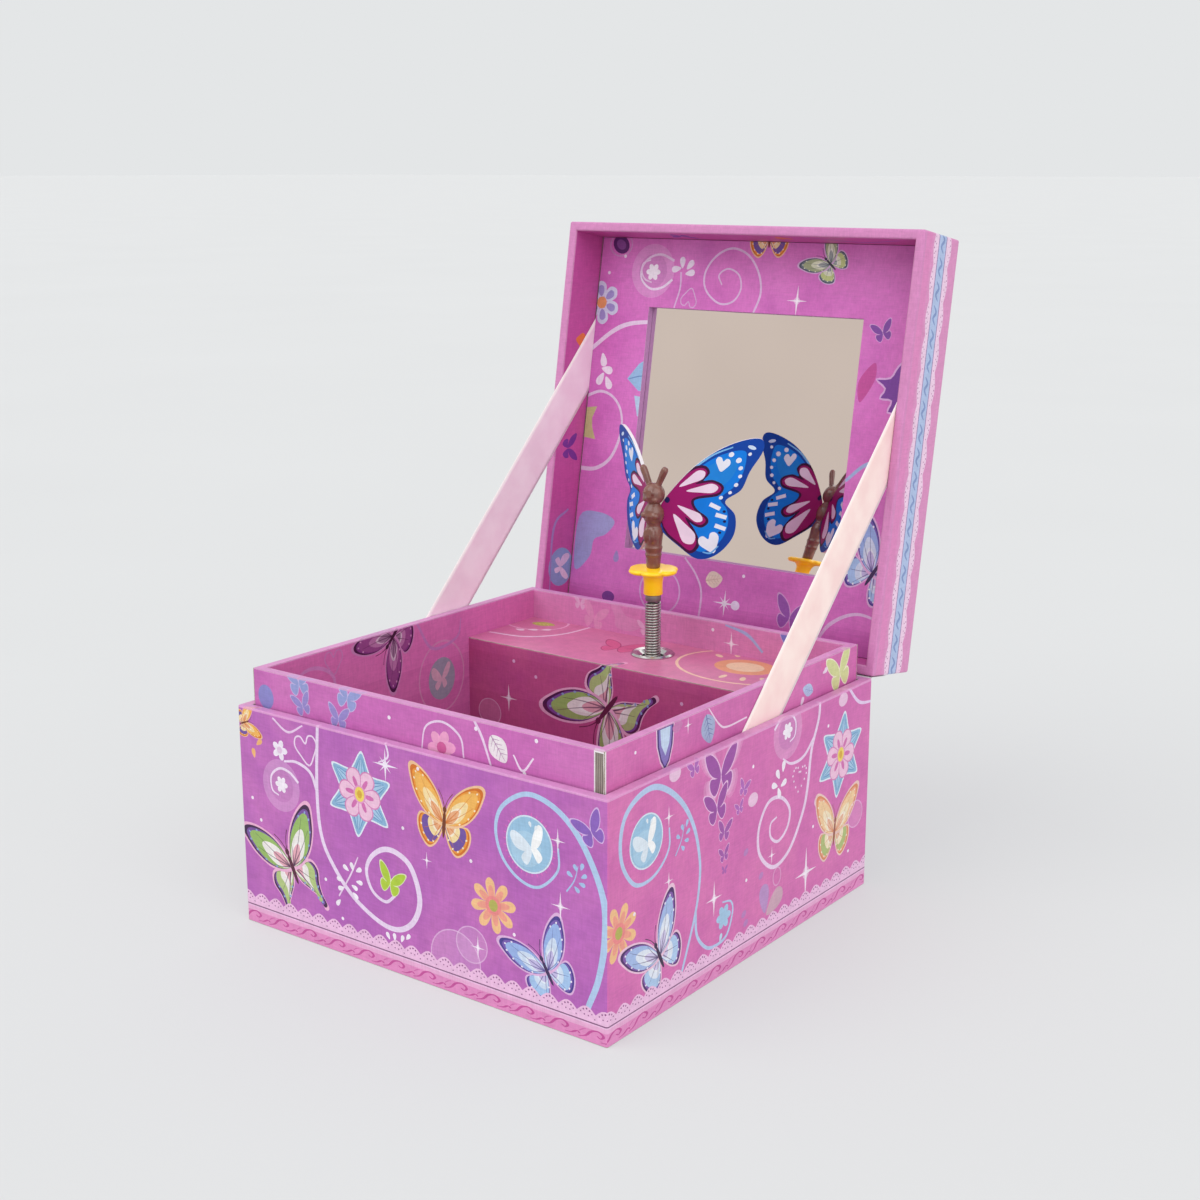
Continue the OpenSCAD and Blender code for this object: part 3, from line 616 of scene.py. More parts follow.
def scrolls(art, low, high, half, pitch=9.5):
    """Running scrolls along a band, each one an S with a curled tip."""
    count = max(1, round(2 * half / pitch))
    step = 2 * half / count
    main = [(0.0, 0.12), (0.2, 0.3), (0.36, 0.72), (0.56, 0.86), (0.7, 0.62), (0.62, 0.4), (0.52, 0.52)]
    for k in range(count):
        pen = art.at(-half + k * step, low, 0, (step, high - low))
        pen.stroke(main, [0.05, 0.09, 0.08, 0.05], "C94F9C", 4)
        pen.stroke([(0.62, 0.14), (0.8, 0.2), (0.96, 0.42), (1.04, 0.3)], [0.04, 0.08, 0.05], "C94F9C", 4)
        pen.stroke([(0.02, 0.5), (0.12, 0.7), (0.22, 0.78)], [0.03, 0.06, 0.03], "C94F9CA0", 3)


def bottom_border(art, half):
    """The band round the foot of the walls: scrolls on pink, a thin line, then lace."""
    art.band(half, -1, 3.9, "E78FC6")
    art.band(half, 3.2, 4.3, "EFB0D8")
    scrolls(art, 0.4, 3.6, half)
    lace(art, 4.2, 8.2, half)
    art.band(half, 4.55, 4.85, "86567F")


# ---------------------------------------------------------------- meshes

def put(name, mesh, material):
    """Places a mesh in the scene with its material."""
    obj = bpy.data.objects.new(name, mesh)
    bpy.context.scene.collection.objects.link(obj)
    dress(obj, material)
    return obj


def add_mesh(name, verts, faces, material, is_smooth=True):
    mesh = bpy.data.meshes.new(name)
    mesh.from_pydata([tuple(v) for v in np.asarray(verts) * MM], [], [tuple(f) for f in faces])
    mesh.polygons.foreach_set("use_smooth", np.full(len(mesh.polygons), is_smooth))
    return put(name, mesh, material)


def ring_faces(rows, steps, capped=True):
    """Faces of a tube whose points come row by row, with its two ends closed."""
    faces = []
    for i in range(rows - 1):
        for j in range(steps):
            k = (j + 1) % steps
            faces.append((i * steps + j, i * steps + k, (i + 1) * steps + k, (i + 1) * steps + j))
    if capped:
        faces.append(tuple(range(steps))[::-1])
        faces.append(tuple((rows - 1) * steps + j for j in range(steps)))
    return faces


def tube(centres, radius, sides=10):
    """Points and faces of a round tube along a line of centres."""
    centres = np.asarray(centres, float)
    ahead = np.gradient(centres, axis=0)
    ahead /= np.linalg.norm(ahead, axis=1)[:, None]
    side = np.cross(ahead, np.array([0.0, 0.0, 1.0]))
    side /= np.linalg.norm(side, axis=1)[:, None] + 1e-9
    lift = np.cross(side, ahead)
    a = np.arange(sides) * 2 * math.pi / sides
    ring = side[:, None, :] * np.cos(a)[None, :, None] + lift[:, None, :] * np.sin(a)[None, :, None]
    radii = np.broadcast_to(radius, (len(centres),))
    verts = (centres[:, None, :] + ring * radii[:, None, None]).reshape(-1, 3)
    return verts, ring_faces(len(centres), sides)


def lathe(profile, steps=40, centre=(0.0, 0.0), wobble=None):
    """A turned shape from (radius, height) points; wobble may change the radius by angle and height."""
    verts = []
    for r, z in profile:
        for j in range(steps):
            a = j * 2 * math.pi / steps
            rr = r if wobble is None else r * wobble(a, z)
            verts.append((centre[0] + rr * math.cos(a), centre[1] + rr * math.sin(a), z))
    return verts, ring_faces(len(profile), steps)


def ball(centre, radii, rings=14, steps=20):
    verts = []
    for i in range(rings + 1):
        p = math.pi * i / rings - math.pi / 2
        for j in range(steps):
            a = j * 2 * math.pi / steps
            verts.append((centre[0] + radii[0] * math.cos(p) * math.cos(a),
                          centre[1] + radii[1] * math.cos(p) * math.sin(a),
                          centre[2] + radii[2] * math.sin(p)))
    return verts, ring_faces(rings + 1, steps, False)


# ---------------------------------------------------------------- printed paper as a mesh

def clip(outline, low, high):
    """The part of an outline inside a rectangle."""
    points = [tuple(p) for p in outline]
    for axis, limit, sign in ((0, low[0], 1), (0, high[0], -1), (1, low[1], 1), (1, high[1], -1)):
        out = []
        for a, b in zip(points, points[1:] + points[:1]):
            da, db = sign * (a[axis] - limit), sign * (b[axis] - limit)
            if da >= 0:
                out.append(a)
            if (da > 0 > db) or (da < 0 < db):
                t = da / (da - db)
                out.append(tuple(p + (q - p) * t for p, q in zip(a, b)))
        points = out
        if len(points) < 3:
            return []
    return points


def inside(points, outline):
    """Which points lie inside an outline."""
    x, y = points.T
    hit = np.zeros(len(points), bool)
    for (ax, ay), (bx, by) in zip(outline, np.roll(outline, -1, 0)):
        if ay != by:
            across = (ay > y) != (by > y)
            hit ^= across & (x < (bx - ax) * (y - ay) / (by - ay) + ax)
    return hit


def triangulate(low, high, layers, folds, cuts):
    """Triangles of a rectangle that follow every outline drawn on it, and the middle of each."""
    points, lines = [], []

    def loop(outline):
        first = len(points)
        points.extend(outline)
        lines.extend((first + i, first + (i + 1) % len(outline)) for i in range(len(outline)))

    loop([(low[0], low[1]), (high[0], low[1]), (high[0], high[1]), (low[0], high[1])])
    for axis, at in folds:
        if low[axis] < at < high[axis]:
            a, b = [low[0], low[1]], [high[0], high[1]]
            a[axis] = b[axis] = at
            lines.append((len(points), len(points) + 1))
            points.extend([tuple(a), tuple(b)])
    for outline in cuts:
        loop([tuple(p) for p in outline])
    for outline, _ in layers:
        part = clip(outline, low, high)
        if part:
            loop(part)
    out = delaunay_2d_cdt([Vector(p) for p in points], lines, [], 0, 2e-3, False)
    verts = np.array([tuple(v) for v in out[0]])
    faces = np.array([f for f in out[2] if len(f) == 3])
    a, b, c = verts[faces[:, 0]], verts[faces[:, 1]], verts[faces[:, 2]]
    size = (b[:, 0] - a[:, 0]) * (c[:, 1] - a[:, 1]) - (b[:, 1] - a[:, 1]) * (c[:, 0] - a[:, 0])
    faces = np.where((size < 0)[:, None], faces[:, ::-1], faces)
    keep = np.abs(size) > 1e-9
    return verts, faces[keep], ((a + b + c) / 3)[keep]


def paint(middles, layers):
    """Colour and cover of each triangle, with every layer laid over the last."""
    ink = np.zeros((len(middles), 4))
    for outline, colour in layers:
        low, high = outline.min(0), outline.max(0)
        near = np.flatnonzero(((middles >= low) & (middles <= high)).all(1))
        if len(near) == 0:
            continue
        near = near[inside(middles[near], outline)]
        over, under = colour[3], ink[near, 3]
        total = over + under * (1 - over)
        mixed = np.array(colour[:3]) * over + ink[near, :3] * (under * (1 - over))[:, None]
        ink[near, :3] = mixed / np.maximum(total, 1e-6)[:, None]
        ink[near, 3] = total
    return ink


PAPER_BACK = "E4DEE2"
PAPER_EDGE = "EFE9EE"
PAPER_LIFT = 0.06  # how far the inner papers stand off their boards


def kept_part(triangles, holes, shape):
    """Leaves out the triangles in a hole or outside the shape, and the points nothing uses."""
    verts, faces, middles = triangles
    keep = np.ones(len(faces), bool)
    for hole in holes:
        keep &= ~inside(middles, np.asarray(hole))
    if shape is not None:
        keep &= inside(middles, np.asarray(shape))
    used, faces = np.unique(faces[keep], return_inverse=True)
    return verts[used], faces.reshape(-1, 3), middles[keep]


def unit(vectors, least):
    return vectors / (np.linalg.norm(vectors, axis=1)[:, None] + least)


def printed(name, place, low, high, art, material, folds=(), holes=(), shape=None, thick=0.15, back=None):
    """A closed sheet: its printed face at place(u, v), its back the thickness behind it."""
    cuts = list(holes) + ([shape] if shape is not None else [])
    verts, faces, middles = kept_part(triangulate(low, high, art.layers, folds, cuts), holes, shape)
    nudge = 0.02
    u, v = verts.T
    front = place(u, v)
    du = place(u + nudge, v) - place(u - nudge, v)
    dv = place(u, v + nudge) - place(u, v - nudge)
    normal = unit(np.cross(du, dv), 1e-12)
    count = len(verts)
    pairs = np.vstack([faces[:, [0, 1]], faces[:, [1, 2]], faces[:, [2, 0]]])
    seen = {tuple(p) for p in pairs}
    rim = np.array([(a, b) for a, b in pairs if (b, a) not in seen])
    sides = np.vstack([np.column_stack([rim[:, 1], rim[:, 0], rim[:, 0] + count]),
                       np.column_stack([rim[:, 1], rim[:, 0] + count, rim[:, 1] + count])])
    all_faces = np.vstack([faces, faces[:, ::-1] + count, sides])
    points = np.vstack([front, front - normal * thick]) * MM
    mesh = bpy.data.meshes.new(name)
    mesh.from_pydata(points.tolist(), [], all_faces.tolist())
    a, b, c = points[sides[:, 0]], points[sides[:, 1]], points[sides[:, 2]]
    flat = unit(np.cross(b - a, c - a), 1e-18)
    loops = np.vstack([normal[faces.ravel()], -normal[faces[:, ::-1].ravel()], np.repeat(flat, 3, 0)])
    rear = np.tile(tone(PAPER_BACK), (len(faces), 1)) if back is None else paint(middles, back.layers)
    edge = np.tile(tone(PAPER_EDGE), (len(sides), 1))
    colours = np.repeat(np.vstack([paint(middles, art.layers), rear, edge]), 3, 0)
    layer = mesh.color_attributes.new("ink", "FLOAT_COLOR", "CORNER")
    layer.data.foreach_set("color", colours.astype(np.float32).ravel())
    mesh.polygons.foreach_set("use_smooth", np.ones(len(all_faces), bool))
    mesh.normals_split_custom_set(loops.tolist())
    return put(name, mesh, material)


def folded(path, radius=0.35, steps=4):
    """A path with rounded corners, as rows of distance along the sharp path, inset and height."""
    path = [np.array(p, float) for p in path]
    rows, run = [(0.0, *path[0])], 0.0
    for a, b, c in zip(path, path[1:], path[2:]):
        before, after = np.linalg.norm(b - a), np.linalg.norm(c - b)
        run += before
        r = min(radius, before * 0.45, after * 0.45)
        first, last = b + (a - b) / before * r, b + (c - b) / after * r
        for k in range(steps + 1):
            t = k / steps
            rows.append((run - r + 2 * r * t, *((1 - t) ** 2 * first + 2 * t * (1 - t) * b + t ** 2 * last)))
    run += np.linalg.norm(path[-1] - path[-2])
    rows.append((run, *path[-1]))
    return np.array(rows)


SIDES = ("front", "right", "back", "left")


def side_place(side, half_w, half_d, rows, corner=0.6, start=0.0, after=None):
    """Maps (u, v) on one side's paper to space, and gives the reach of u and the lines it folds on."""
    along, away = (half_w, half_d) if side % 2 == 0 else (half_d, half_w)
    straight = along - corner
    reach = straight + corner * math.pi / 4

    def place(u, v):
        d = np.interp(v - start, rows[:, 0], rows[:, 1])
        z = np.interp(v - start, rows[:, 0], rows[:, 2])
        r = np.maximum(corner - d, 0.02)
        phi = np.clip((np.abs(u) - straight) / corner, 0, None)
        inner = np.clip(np.abs(u), None, straight) / straight * (along - d - r)
        x = np.sign(u) * (inner + r * np.sin(phi))
        y = -(away - d - r) - r * np.cos(phi)
        for _ in range(side):
            x, y = -y, x
        out = np.column_stack([x, y, z])
        return out if after is None else after(out)

    folds = [(1, start + s) for s in rows[1:-1, 0]]
    folds += [(0, sign * (straight + corner * math.pi / 4 * k / 3)) for sign in (-1, 1) for k in range(3)]
    return place, reach, folds


# ---------------------------------------------------------------- the outer wall prints

def front_print(art):
    """Violet front: swallowtail, flower, curling vine, orange butterfly, daisy and medallion."""
    butterfly(art, -53, 51, -70, 4.5, "orange")
    petals(art, [(-48, 47, 40), (-50, 44, 100)], 2.4, "F6B877")
    small_flower(art, -41, 46.5, 2.6, "F7ECFA", 5, "E9C7E6")
    art.stroke([(-43, 54), (-38, 51.5), (-33, 54)], [0.5, 0.6, 0.4], "F0CFEF")
    heart_line(art, -32, 48.4, 12, 7, "F3D9F3")
    halo_ring(art, -41, 37.7, 6.2)
    art.stroke([(-29, 39), (-31, 43), (-35.4, 44.6), (-39.7, 44)], [0.9, 0.8, 0.5], "F1DBF5")
    art.stroke([(-28, 56), (-29, 39), (-28, 28), (-24, 21), (-18, 15.2), (-10, 11.3), (-4, 11), (0.6, 14.2),
                (2.6, 20), (0.2, 27), (-4.3, 29.6), (-8.6, 29.3), (-12.4, 26.4), (-13.8, 22.6), (-12, 18.4),
                (-8, 16.8), (-5, 19)], [0.9, 1.1, 1.2, 1.5, 1.3, 0.9, 0.7], "EFD9F4")
    art.stroke([(-16.4, 25.6), (-19, 20.6), (-23, 14.4)], [0.3, 0.45, 0.4], "EFD3F0")
    petals(art, [(-20.4, 22, 150), (-18.4, 22.8, 110), (-16.3, 22.4, 30), (-22.5, 18.7, 170),
                 (-22.2, 16.6, 200), (-16.2, 19.4, 0), (-17.8, 17.8, -20), (-17.6, 15.8, -40),
                 (-23.2, 12.8, 230)], 2.1, "F8EFFA")
    butterfly(art, -38.3, 17.8, 25, 12.4, "swallow", True)
    star_flower(art, -15.2, 41.1, 10, 25)
    star8(art, -6.9, 49.8, 4)
    art.stroke([(-7, 56), (-6, 52), (-9, 50)], [0.6, 0.5, 0.3], "F1DBF5")
    shadow_butterfly(art, -6.4, 21.6, -14, 3.9, "B4D23A", "E6EFB8")
    petals(art, [(-7.5, 8.6, 120), (-5.5, 8.8, 95), (-3.1, 9, 70), (-1.3, 9.9, 50)], 1.9, "F8EFFA")
    butterfly(art, 10.4, 40, -5, 10.4, "orange")
    art.stroke([(42.2, 41.7), (42, 36.5), (37, 31.7), (31.6, 32.2), (27, 36.1), (25.2, 42), (27, 47.5),
                (33, 51.6), (39, 51.3), (45, 48), (50, 42), (54, 33), (54.3, 24), (52.7, 15), (50, 8)],
               [0.5, 0.7, 0.8, 1.1, 1.5, 1.7, 1.4], "B5CFF0")
    medallion(art, 34.4, 40.7, 6, 6.1)
    sprig(art, 47, 36, 10, 3.2, "A9C6EC")
    shadow_butterfly(art, 51, 47, 30, 4, "8E63C0", "DDB9EA")
    daisy(art, 24.2, 24.2, 6.3)
    bubble(art, 13, 8.5, 7.4)
    bubble(art, 17.8, 13.3, 4.6)
    butterfly(art, 39, 13, 31, 9.6, "blue")
    sparkles(art, (19.6, 13.1, 2.2), (42.7, 28.8, 2.6), (42.1, 43.3, 2.2), (5, 30, 1.6))
    art.dots([(-48.5, 27.4), (-51.2, 32.5), (-27.2, 17.5), (-22, 9), (-2, 36), (18, 33), (30, 19),
              (3, 51)], 0.45, "F8EAF8")


def right_print(art):
    """Pink right side: blue scroll and medallion, butterfly shadows, second flower and vine."""
    art.stroke([(-33.4, 42.5), (-33.4, 38), (-36.5, 34.5), (-41, 32.8), (-46, 33.6), (-50, 38.5),
                (-51.1, 44), (-49.5, 49.5), (-45, 52.6), (-39, 53.2), (-33, 50.4), (-27.5, 45.4),
                (-23.6, 39), (-21.6, 32), (-21.4, 26.5), (-23, 19), (-28, 7)],
               [0.5, 0.8, 1.1, 1.4, 1.3, 0.9, 0.8], "B9CDEE")
    art.stroke([(-22.9, 19.5), (-22.3, 13.8), (-19.1, 9.8), (-15.4, 8.4), (-10.2, 9.2), (-7.7, 14),
                (-8.4, 17), (-12, 18)], [0.9, 0.8, 0.4], "B9CDEE")
    small_flower(art, -11.4, 14.3, 3, "A9CDEB", 6)
    petals(art, [(-12.5, 9.6, 70)], 2, "BFDDF0")
    medallion(art, -41.8, 42, 5.7, 5.8)
    for k, dim in ((0, "30"), (1, "40"), (2, "55")):
        shadow_butterfly(art, -13.4, 48.3, 0, 9.6 - k * 1.3, "F6C7EA" + dim)
    for x, y, angle, size, code, rim in (
            (-13.4, 48.3, 0, 6.2, "A04CA6", "F0BEE6"), (-14.8, 41, 8, 4.6, "A04CA6", "F0BEE6"),
            (-11.7, 34.6, -10, 2.8, "A655AC", "EEBBE4"), (-11.6, 29.1, 5, 2.1, "A655AC", "EEBBE4"),
            (-11.4, 25.4, -6, 1.2, "B060B4", None), (-24, 53, 15, 2.4, "B565BC", "F0BEE6"),
            (-3.8, 42.6, -20, 2.2, "B565BC", "F0BEE6"), (-5.5, 38.4, 10, 1.8, "B565BC", "F0BEE6")):
        shadow_butterfly(art, x, y, angle, size, code, rim)
    for x, y, r in ((-31.4, 54, 2.2), (0.2, 39, 2.1), (41, 53, 2.2), (30, 30, 1.8)):
        art.oval(x, y, r, r * 0.8, "F7D9F0C0", 0, 16)
    sprig(art, -28.2, 38.5, 8, 3.2, "A9C6EC")
    art.stroke([(29.7, 56), (29.2, 51), (26.2, 44), (24.8, 35), (22.7, 29), (17, 21.5), (9.8, 19.4),
                (3.6, 24.5), (3, 31), (6.8, 36.2), (12.4, 36), (16.6, 32), (15.8, 27.6), (11.8, 25.3),
                (8.3, 27.4), (8.2, 30.6), (10.9, 31.6)], [1.0, 1.1, 1.0, 0.9, 0.8, 0.5], "F0D4F0")
    art.stroke([(27.4, 47), (22.6, 43.4), (17, 43.1), (13, 45.3)], [0.9, 0.8, 0.4], "F0D4F0")
    halo_ring(art, 15, 51.4, 6.4, -1)
    petals(art, [(11, 42, 120), (13.4, 43.4, 80), (9.6, 39.6, 160), (13.6, 39.2, 20), (11.6, 37.4, -70)], 2.8,
           "F8EFFA")
    heart_line(art, 20.8, 38.4, -8, 6, "F5DCF3", True)
    star_flower(art, 40.6, 39, 10.4, 22)
    butterfly(art, 38.6, 19.3, -6, 10.2, "peach")
    sparkles(art, (25.1, 13, 5.2))
    petals(art, [(6.1, 12.6, 96)], 7.6, "B39AD0C0")
    petals(art, [(10.6, 10.4, 32)], 8.4, "CFB3BCC8")
    for x, y in ((-2.8, 11.9), (-1.9, 9.4), (4.4, 19), (-2.4, 27)):
        art.oval(x, y, 1.1, 0.8, "A48BC890", 30, 10)
    ring_of(art, 11.6, 16.5, 1.9, 2.4, 0.35, "ECBDE290")
    daisy(art, -51.5, 24.6, 6.4, 22)
    butterfly(art, -36.6, 14, 27, 10.6, "purple")
    sparkles(art, (-33.6, 44.9, 2), (-33.4, 30.2, 1.8), (-15.5, 20, 3.4), (9, 22.6, 1.8))
    bubble(art, 49, 21, 3.8)
    art.stroke([(43, 56), (49, 50.5), (56, 49)], [0.8, 0.9, 0.6], "EBD0F2")
    art.dots([(0, 47), (34, 48), (28, 24), (-46, 27), (-2, 20), (46, 12)], 0.45, "F8EAF8")


def hidden_print(art, flip):
    """The sides out of the photo's sight, in the same manner."""
    vine = np.array([(-30, 56), (-31, 42), (-26, 28), (-14, 20), (-2, 23), (2, 32), (-4, 38), (-11, 35),
                     (-10, 29)])
    scroll = np.array([(52, 8), (53, 26), (46, 44), (34, 51), (26, 45), (28, 36), (36, 36)])
    art.stroke(vine * (flip, 1), [0.9, 1.3, 1.3, 0.8, 0.5], "EFD9F4")
    art.stroke(scroll * (flip, 1), [1.5, 1.4, 1.0, 0.5], "B5CFF0")
    star_flower(art, flip * -17, 43, 9.6, 12)
    butterfly(art, flip * -42, 22, flip * 24, 11.5, "purple")
    butterfly(art, flip * 14, 38, flip * -10, 10, "orange")
    butterfly(art, flip * 33, 17, flip * 18, 9.5, "blue")
    daisy(art, flip * 15, 18, 6)
    medallion(art, flip * 35, 42, 5.6, 5.8)
    halo_ring(art, flip * -44, 43, 6)
    shadow_butterfly(art, flip * 2, 48, flip * 12, 4.6, "9A4CA6", "F0BEE6")
    sparkles(art, (flip * -52, 34, 2), (flip * 3, 13, 3), (flip * 47, 27, 2.4), (flip * 24, 50, 2))


def wall_art(side, half):
    art = Art()
    if side == 0:
        front_print(art)
    elif side == 1:
        right_print(art)
    else:
        hidden_print(art, 1 if side == 2 else -1)
    bottom_border(art, half + 2)
    art.band(half + 1, BOX_TOP - 0.5, BOX_TOP + 3, "E9A9D8B8")
    return art


def round_hole(x, z, r, count=24):
    return round_about(r, count) + (x, z)


def outer_wrap():
    """The printed wrap on the four walls, turned in over their top edges."""
    rows = folded([(0, 0.2), (0, BOX_TOP), (WALL_T, BOX_TOP)])
    skins = [print_paper("print_front", "BC66BE", "CA71C0", "B25CB4"),
             print_paper("print_right", "DA6EB6", "E078B8", "CE64AE")]
    first = None
    for side in range(4):
        place, reach, folds = side_place(side, HALF_W, HALF_D, rows, 0.6, 0.2)
        holes = []
        if side == 2:
            holes.append(round_hole(-KEY_AXIS[0], KEY_AXIS[2], 3.2))
            wire = node_middle("stop_wire")
            slot = BOX_TOP + np.array([-1.0, WALL_T + 0.2])
            left, right = -wire[0] - 0.5, -wire[0] + 0.5
            holes.append([(left, slot[0]), (right, slot[0]), (right, slot[1]), (left, slot[1])])
        top = 0.2 + rows[-1, 0]
        paper = printed("wrap_" + SIDES[side], place, (-reach, 0.2), (reach, top), wall_art(side, reach),
                        skins[side % 2], folds, holes)
        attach(paper, "box")
        first = first or paper
    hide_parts("outer_wrap")


# ---------------------------------------------------------------- collar, floor and music compartment

def collar_outside(art, side, half):
    """The strip of print above the outer walls; z runs up from the box's top edge."""
    if side == 0:
        shadow_butterfly(art, -36.6, 62.6, 10, 4, "98A0D8", "C9B9E6")
        shadow_butterfly(art, -21, 62, -15, 4, "98A0D8", "C9B9E6")
        shadow_butterfly(art, -35.6, 57.4, 20, 3, "9A8CD0", "C9B9E6")
        shadow_butterfly(art, -24, 56.4, -5, 3.2, "9A8CD0", "C9B9E6")
        art.oval(-48, 57.6, 2.6, 3, "8E8BCE", 10)
        small_flower(art, 7.6, 56, 4.2, "F2A6CE", 6, "D65F9E", 10)
        art.stroke([(1.6, 54), (3, 60), (8, 62), (13, 59.6), (14, 55)], [0.3, 0.5, 0.6, 0.4], "F0D4F0")
        art.stroke([(17.2, 64), (19.4, 60.5), (22, 54)], [0.7, 0.7, 0.5], "F0D4F0")
        leaf(art, 21.8, 61.6, -52, 6.6, 5.6, "F3EAEE", "B98AB4")
        art.stroke([(28, 58.5), (30.5, 55.4), (33.5, 58.8)], [0.4, 0.6, 0.4], "F6E2F6")
        art.dots([(17.6, 62.3), (34.3, 62.8), (31, 54.9), (-8, 60)], 0.5, "F8EAF8")
        bare = half - 0.1
        art.block(bare - 2.5, 53, bare + 1, 65, "F4EEF0")
        art.block(bare - 2.2, 53, bare - 0.1, 63.5, "8B7E76")
        for k in range(9):
            x = bare - 2.05 + 0.235 * k
            fibre = "6E625C" if k % 2 else "B0A69C"
            art.stroke([(x, 53.5), (x + 0.1, 58), (x - 0.05, 63.3)], [0.07, 0.16, 0.06], fibre, 3)
    elif side == 1:
        art.block(-half - 1, 53, -half + 0.35, 65, "F4EEF0")
        wing_at = np.array([-31, 60])
        hung = np.array([(-3.2, 4), (-3, 0), (-1.8, -3.4), (-0.2, -5.6), (1.4, -4), (2.6, -0.6), (3, 4)])
        art.fill(hung * 1.12 + wing_at, "F0CDE4")
        art.fill(hung + wing_at, "4A2A78")
        art.fill(hung * (0.8, 0.92) + wing_at, "8C7CC4")
        art.fill([(-33, 63.6), (-32.6, 60), (-31, 57.4), (-29.6, 60), (-29.2, 63.6)], "CBDCF4")
        art.blob([(-28.4, 63), (-26, 64), (-24.6, 63), (-26, 61.6), (-27.6, 61.6)], "D27FB8")
        sparkles(art, (-22.5, 62, 1.6))
        leaf(art, -15.4, 62.6, -75, 7, 6, "A8B4D6", "6F78AC")
        art.stroke([(-14.5, 63.9), (-10, 59), (-6.6, 57.7), (1.4, 57.9)], [0.3, 0.5, 0.4], "F3D6EC")
        shadow_butterfly(art, 44, 58.4, 12, 5.6, "D9DC9A", "F4EED0")
        leaf(art, 31, 57, 160, 5, 3.4, "B9C8EA", "8D98CC")
        petals(art, [(26, 55.6, 60), (36.6, 60.8, 20)], 2.4, "F3D9EF")
        heart(art, 35.8, 62.2, 10, 2.4, "E06AAE")
        art.dots([(10, 60), (18, 57), (-42, 61)], 0.4, "F8EAF8")
    else:
        shadow_butterfly(art, -30, 58.6, 15, 3.6, "98A0D8", "C9B9E6")
        shadow_butterfly(art, 12, 61, -15, 3.8, "98A0D8", "C9B9E6")
        leaf(art, 34, 59, 30, 4.6, 3.4, "F3E6F6", "C98FCB")
        art.stroke([(-14, 64), (-10, 58), (-2, 55)], [0.5, 0.8, 0.5], "F0D4F0")


def collar_inside(art, side, fold):
    """The print inside, under painted light that is paler on the back wall and painted shade that darkens it
    towards the floor; heights run down from the fold, and u runs the other way seen from within.
    """
    def up(z):
        return fold + COLLAR_TOP - z

    # painted light: a pale overlay over the whole inside, paler on the back wall
    art.band(60, up(65), up(0), "F2A2C670" if side == 2 else "E77EBC70")
    # painted shade: stacked dark bands, darker towards the floor
    for z in range(52, 10, -7):
        art.band(60, up(z), up(0), "A03A7C24")
    if side == 3:
        vine = [(52, up(50)), (40, up(60)), (30, up(57)), (31, up(48)), (38, up(46))]
        art.stroke(vine, [0.5, 1, 0.9, 0.5], "D98CC8")
        heart_line(art, 29.5, up(60.4), 180, 6, "CF86C0")
        butterfly(art, 7.4, up(62.4), -45, 10.4, "dusk")
        ring_of(art, -11.6, up(47.5), 9.4, 10, 0.5, "D79CC0A0")
        art.oval(-11.6, up(47), 5.4, 5.8, "9A94A8", 0, 24)
        side_butterfly(art, -11.6, up(47), 178, 4.6, "D6A6BC", "D6A6BC")
        art.stroke([(-2, up(64)), (-8, up(56)), (-18, up(57)), (-20, up(62))], [0.8, 0.9, 0.4], "C77FBE")
    elif side == 2:
        shadow_butterfly(art, 34.6, up(62.2), 175, 2.4, "E7B3D6")
        shadow_butterfly(art, 29.7, up(58.6), 165, 4.4, "E59BC6")
        pen = art.at(20, up(60), 200, 6.4)
        pen.blob([(-0.35, 0.75), (-0.15, 0.95), (0.1, 0.6), (0.3, 0.1), (0.8, -0.2), (1.0, -0.5),
                  (0.5, -0.62), (0, -0.5), (-0.4, -0.2), (-0.3, 0.2)], "DF94C4")
        shadow_butterfly(art, 11.4, up(58.4), 190, 2.6, "E7B3D6")
        art.dots([(-11, up(61.7))], 0.5, "F8EAF8")
        sparkles(art, (-17, up(58.8), 2.6))
        art.stroke([(-15, up(63.6)), (-22, up(62)), (-27, up(58))], [0.5, 1, 0.7], "A9B4E4")
        shadow_butterfly(art, -36, up(60.6), 175, 4, "7C7ED0", "C9B9E6")
    else:
        art.stroke([(-40, up(62)), (-30, up(50)), (-16, up(48)), (-12, up(56))], [0.5, 1, 0.9, 0.5], "D98CC8")
        shadow_butterfly(art, 6, up(56), 170, 6, "8A4FA8", "D9A2D6")
        heart_line(art, 30, up(56), 180, 6, "CF86C0")


def collar_paper():
    """Print over the collar: up its outside, over the top edge and down the inside to the floor."""
    low = BOX_TOP - 0.4
    top = COLLAR_TOP + PAPER_LIFT
    inset = COLLAR_T + PAPER_LIFT
    path = [(-PAPER_LIFT, low), (-PAPER_LIFT, top), (inset, top), (inset, FLOOR_TOP)]
    rows = folded(path, 0.3)
    skins = [print_paper("print_collar_front", "D06CBC", "D678C0", "C464B2"),
             print_paper("print_collar_right", "D86CB2", "DE76B8", "CA60AA")]
    deep = COLLAR_T + PAPER_LIFT * 2
    for side in range(4):
        place, reach, folds = side_place(side, COLLAR_W, COLLAR_D, rows, 0.4, low)
        art = Art()
        collar_outside(art, side, reach)
        collar_inside(art, side, top + deep)
        art.band(reach + 1, top - 0.25, top + deep + 0.3, "E3A0D4B0")
        end = low + rows[-1, 0]
        holes = []
        if side == 2:
            inner_z = top + deep + top
            holes.append(round_hole(-KEY_AXIS[0], inner_z - KEY_AXIS[2], 3.6))
        paper = printed("collar_paper_" + SIDES[side], place, (-reach, low), (reach, end), art,
                        skins[side % 2], folds, holes, thick=0.05)
        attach(paper, "box")


def flat_place(origin, across, up):
    """Maps (u, v) to a plane through origin."""
    origin, across, up = (np.array(p, float) for p in (origin, across, up))

    def place(u, v):
        return origin + np.outer(u, across) + np.outer(v, up)

    return place


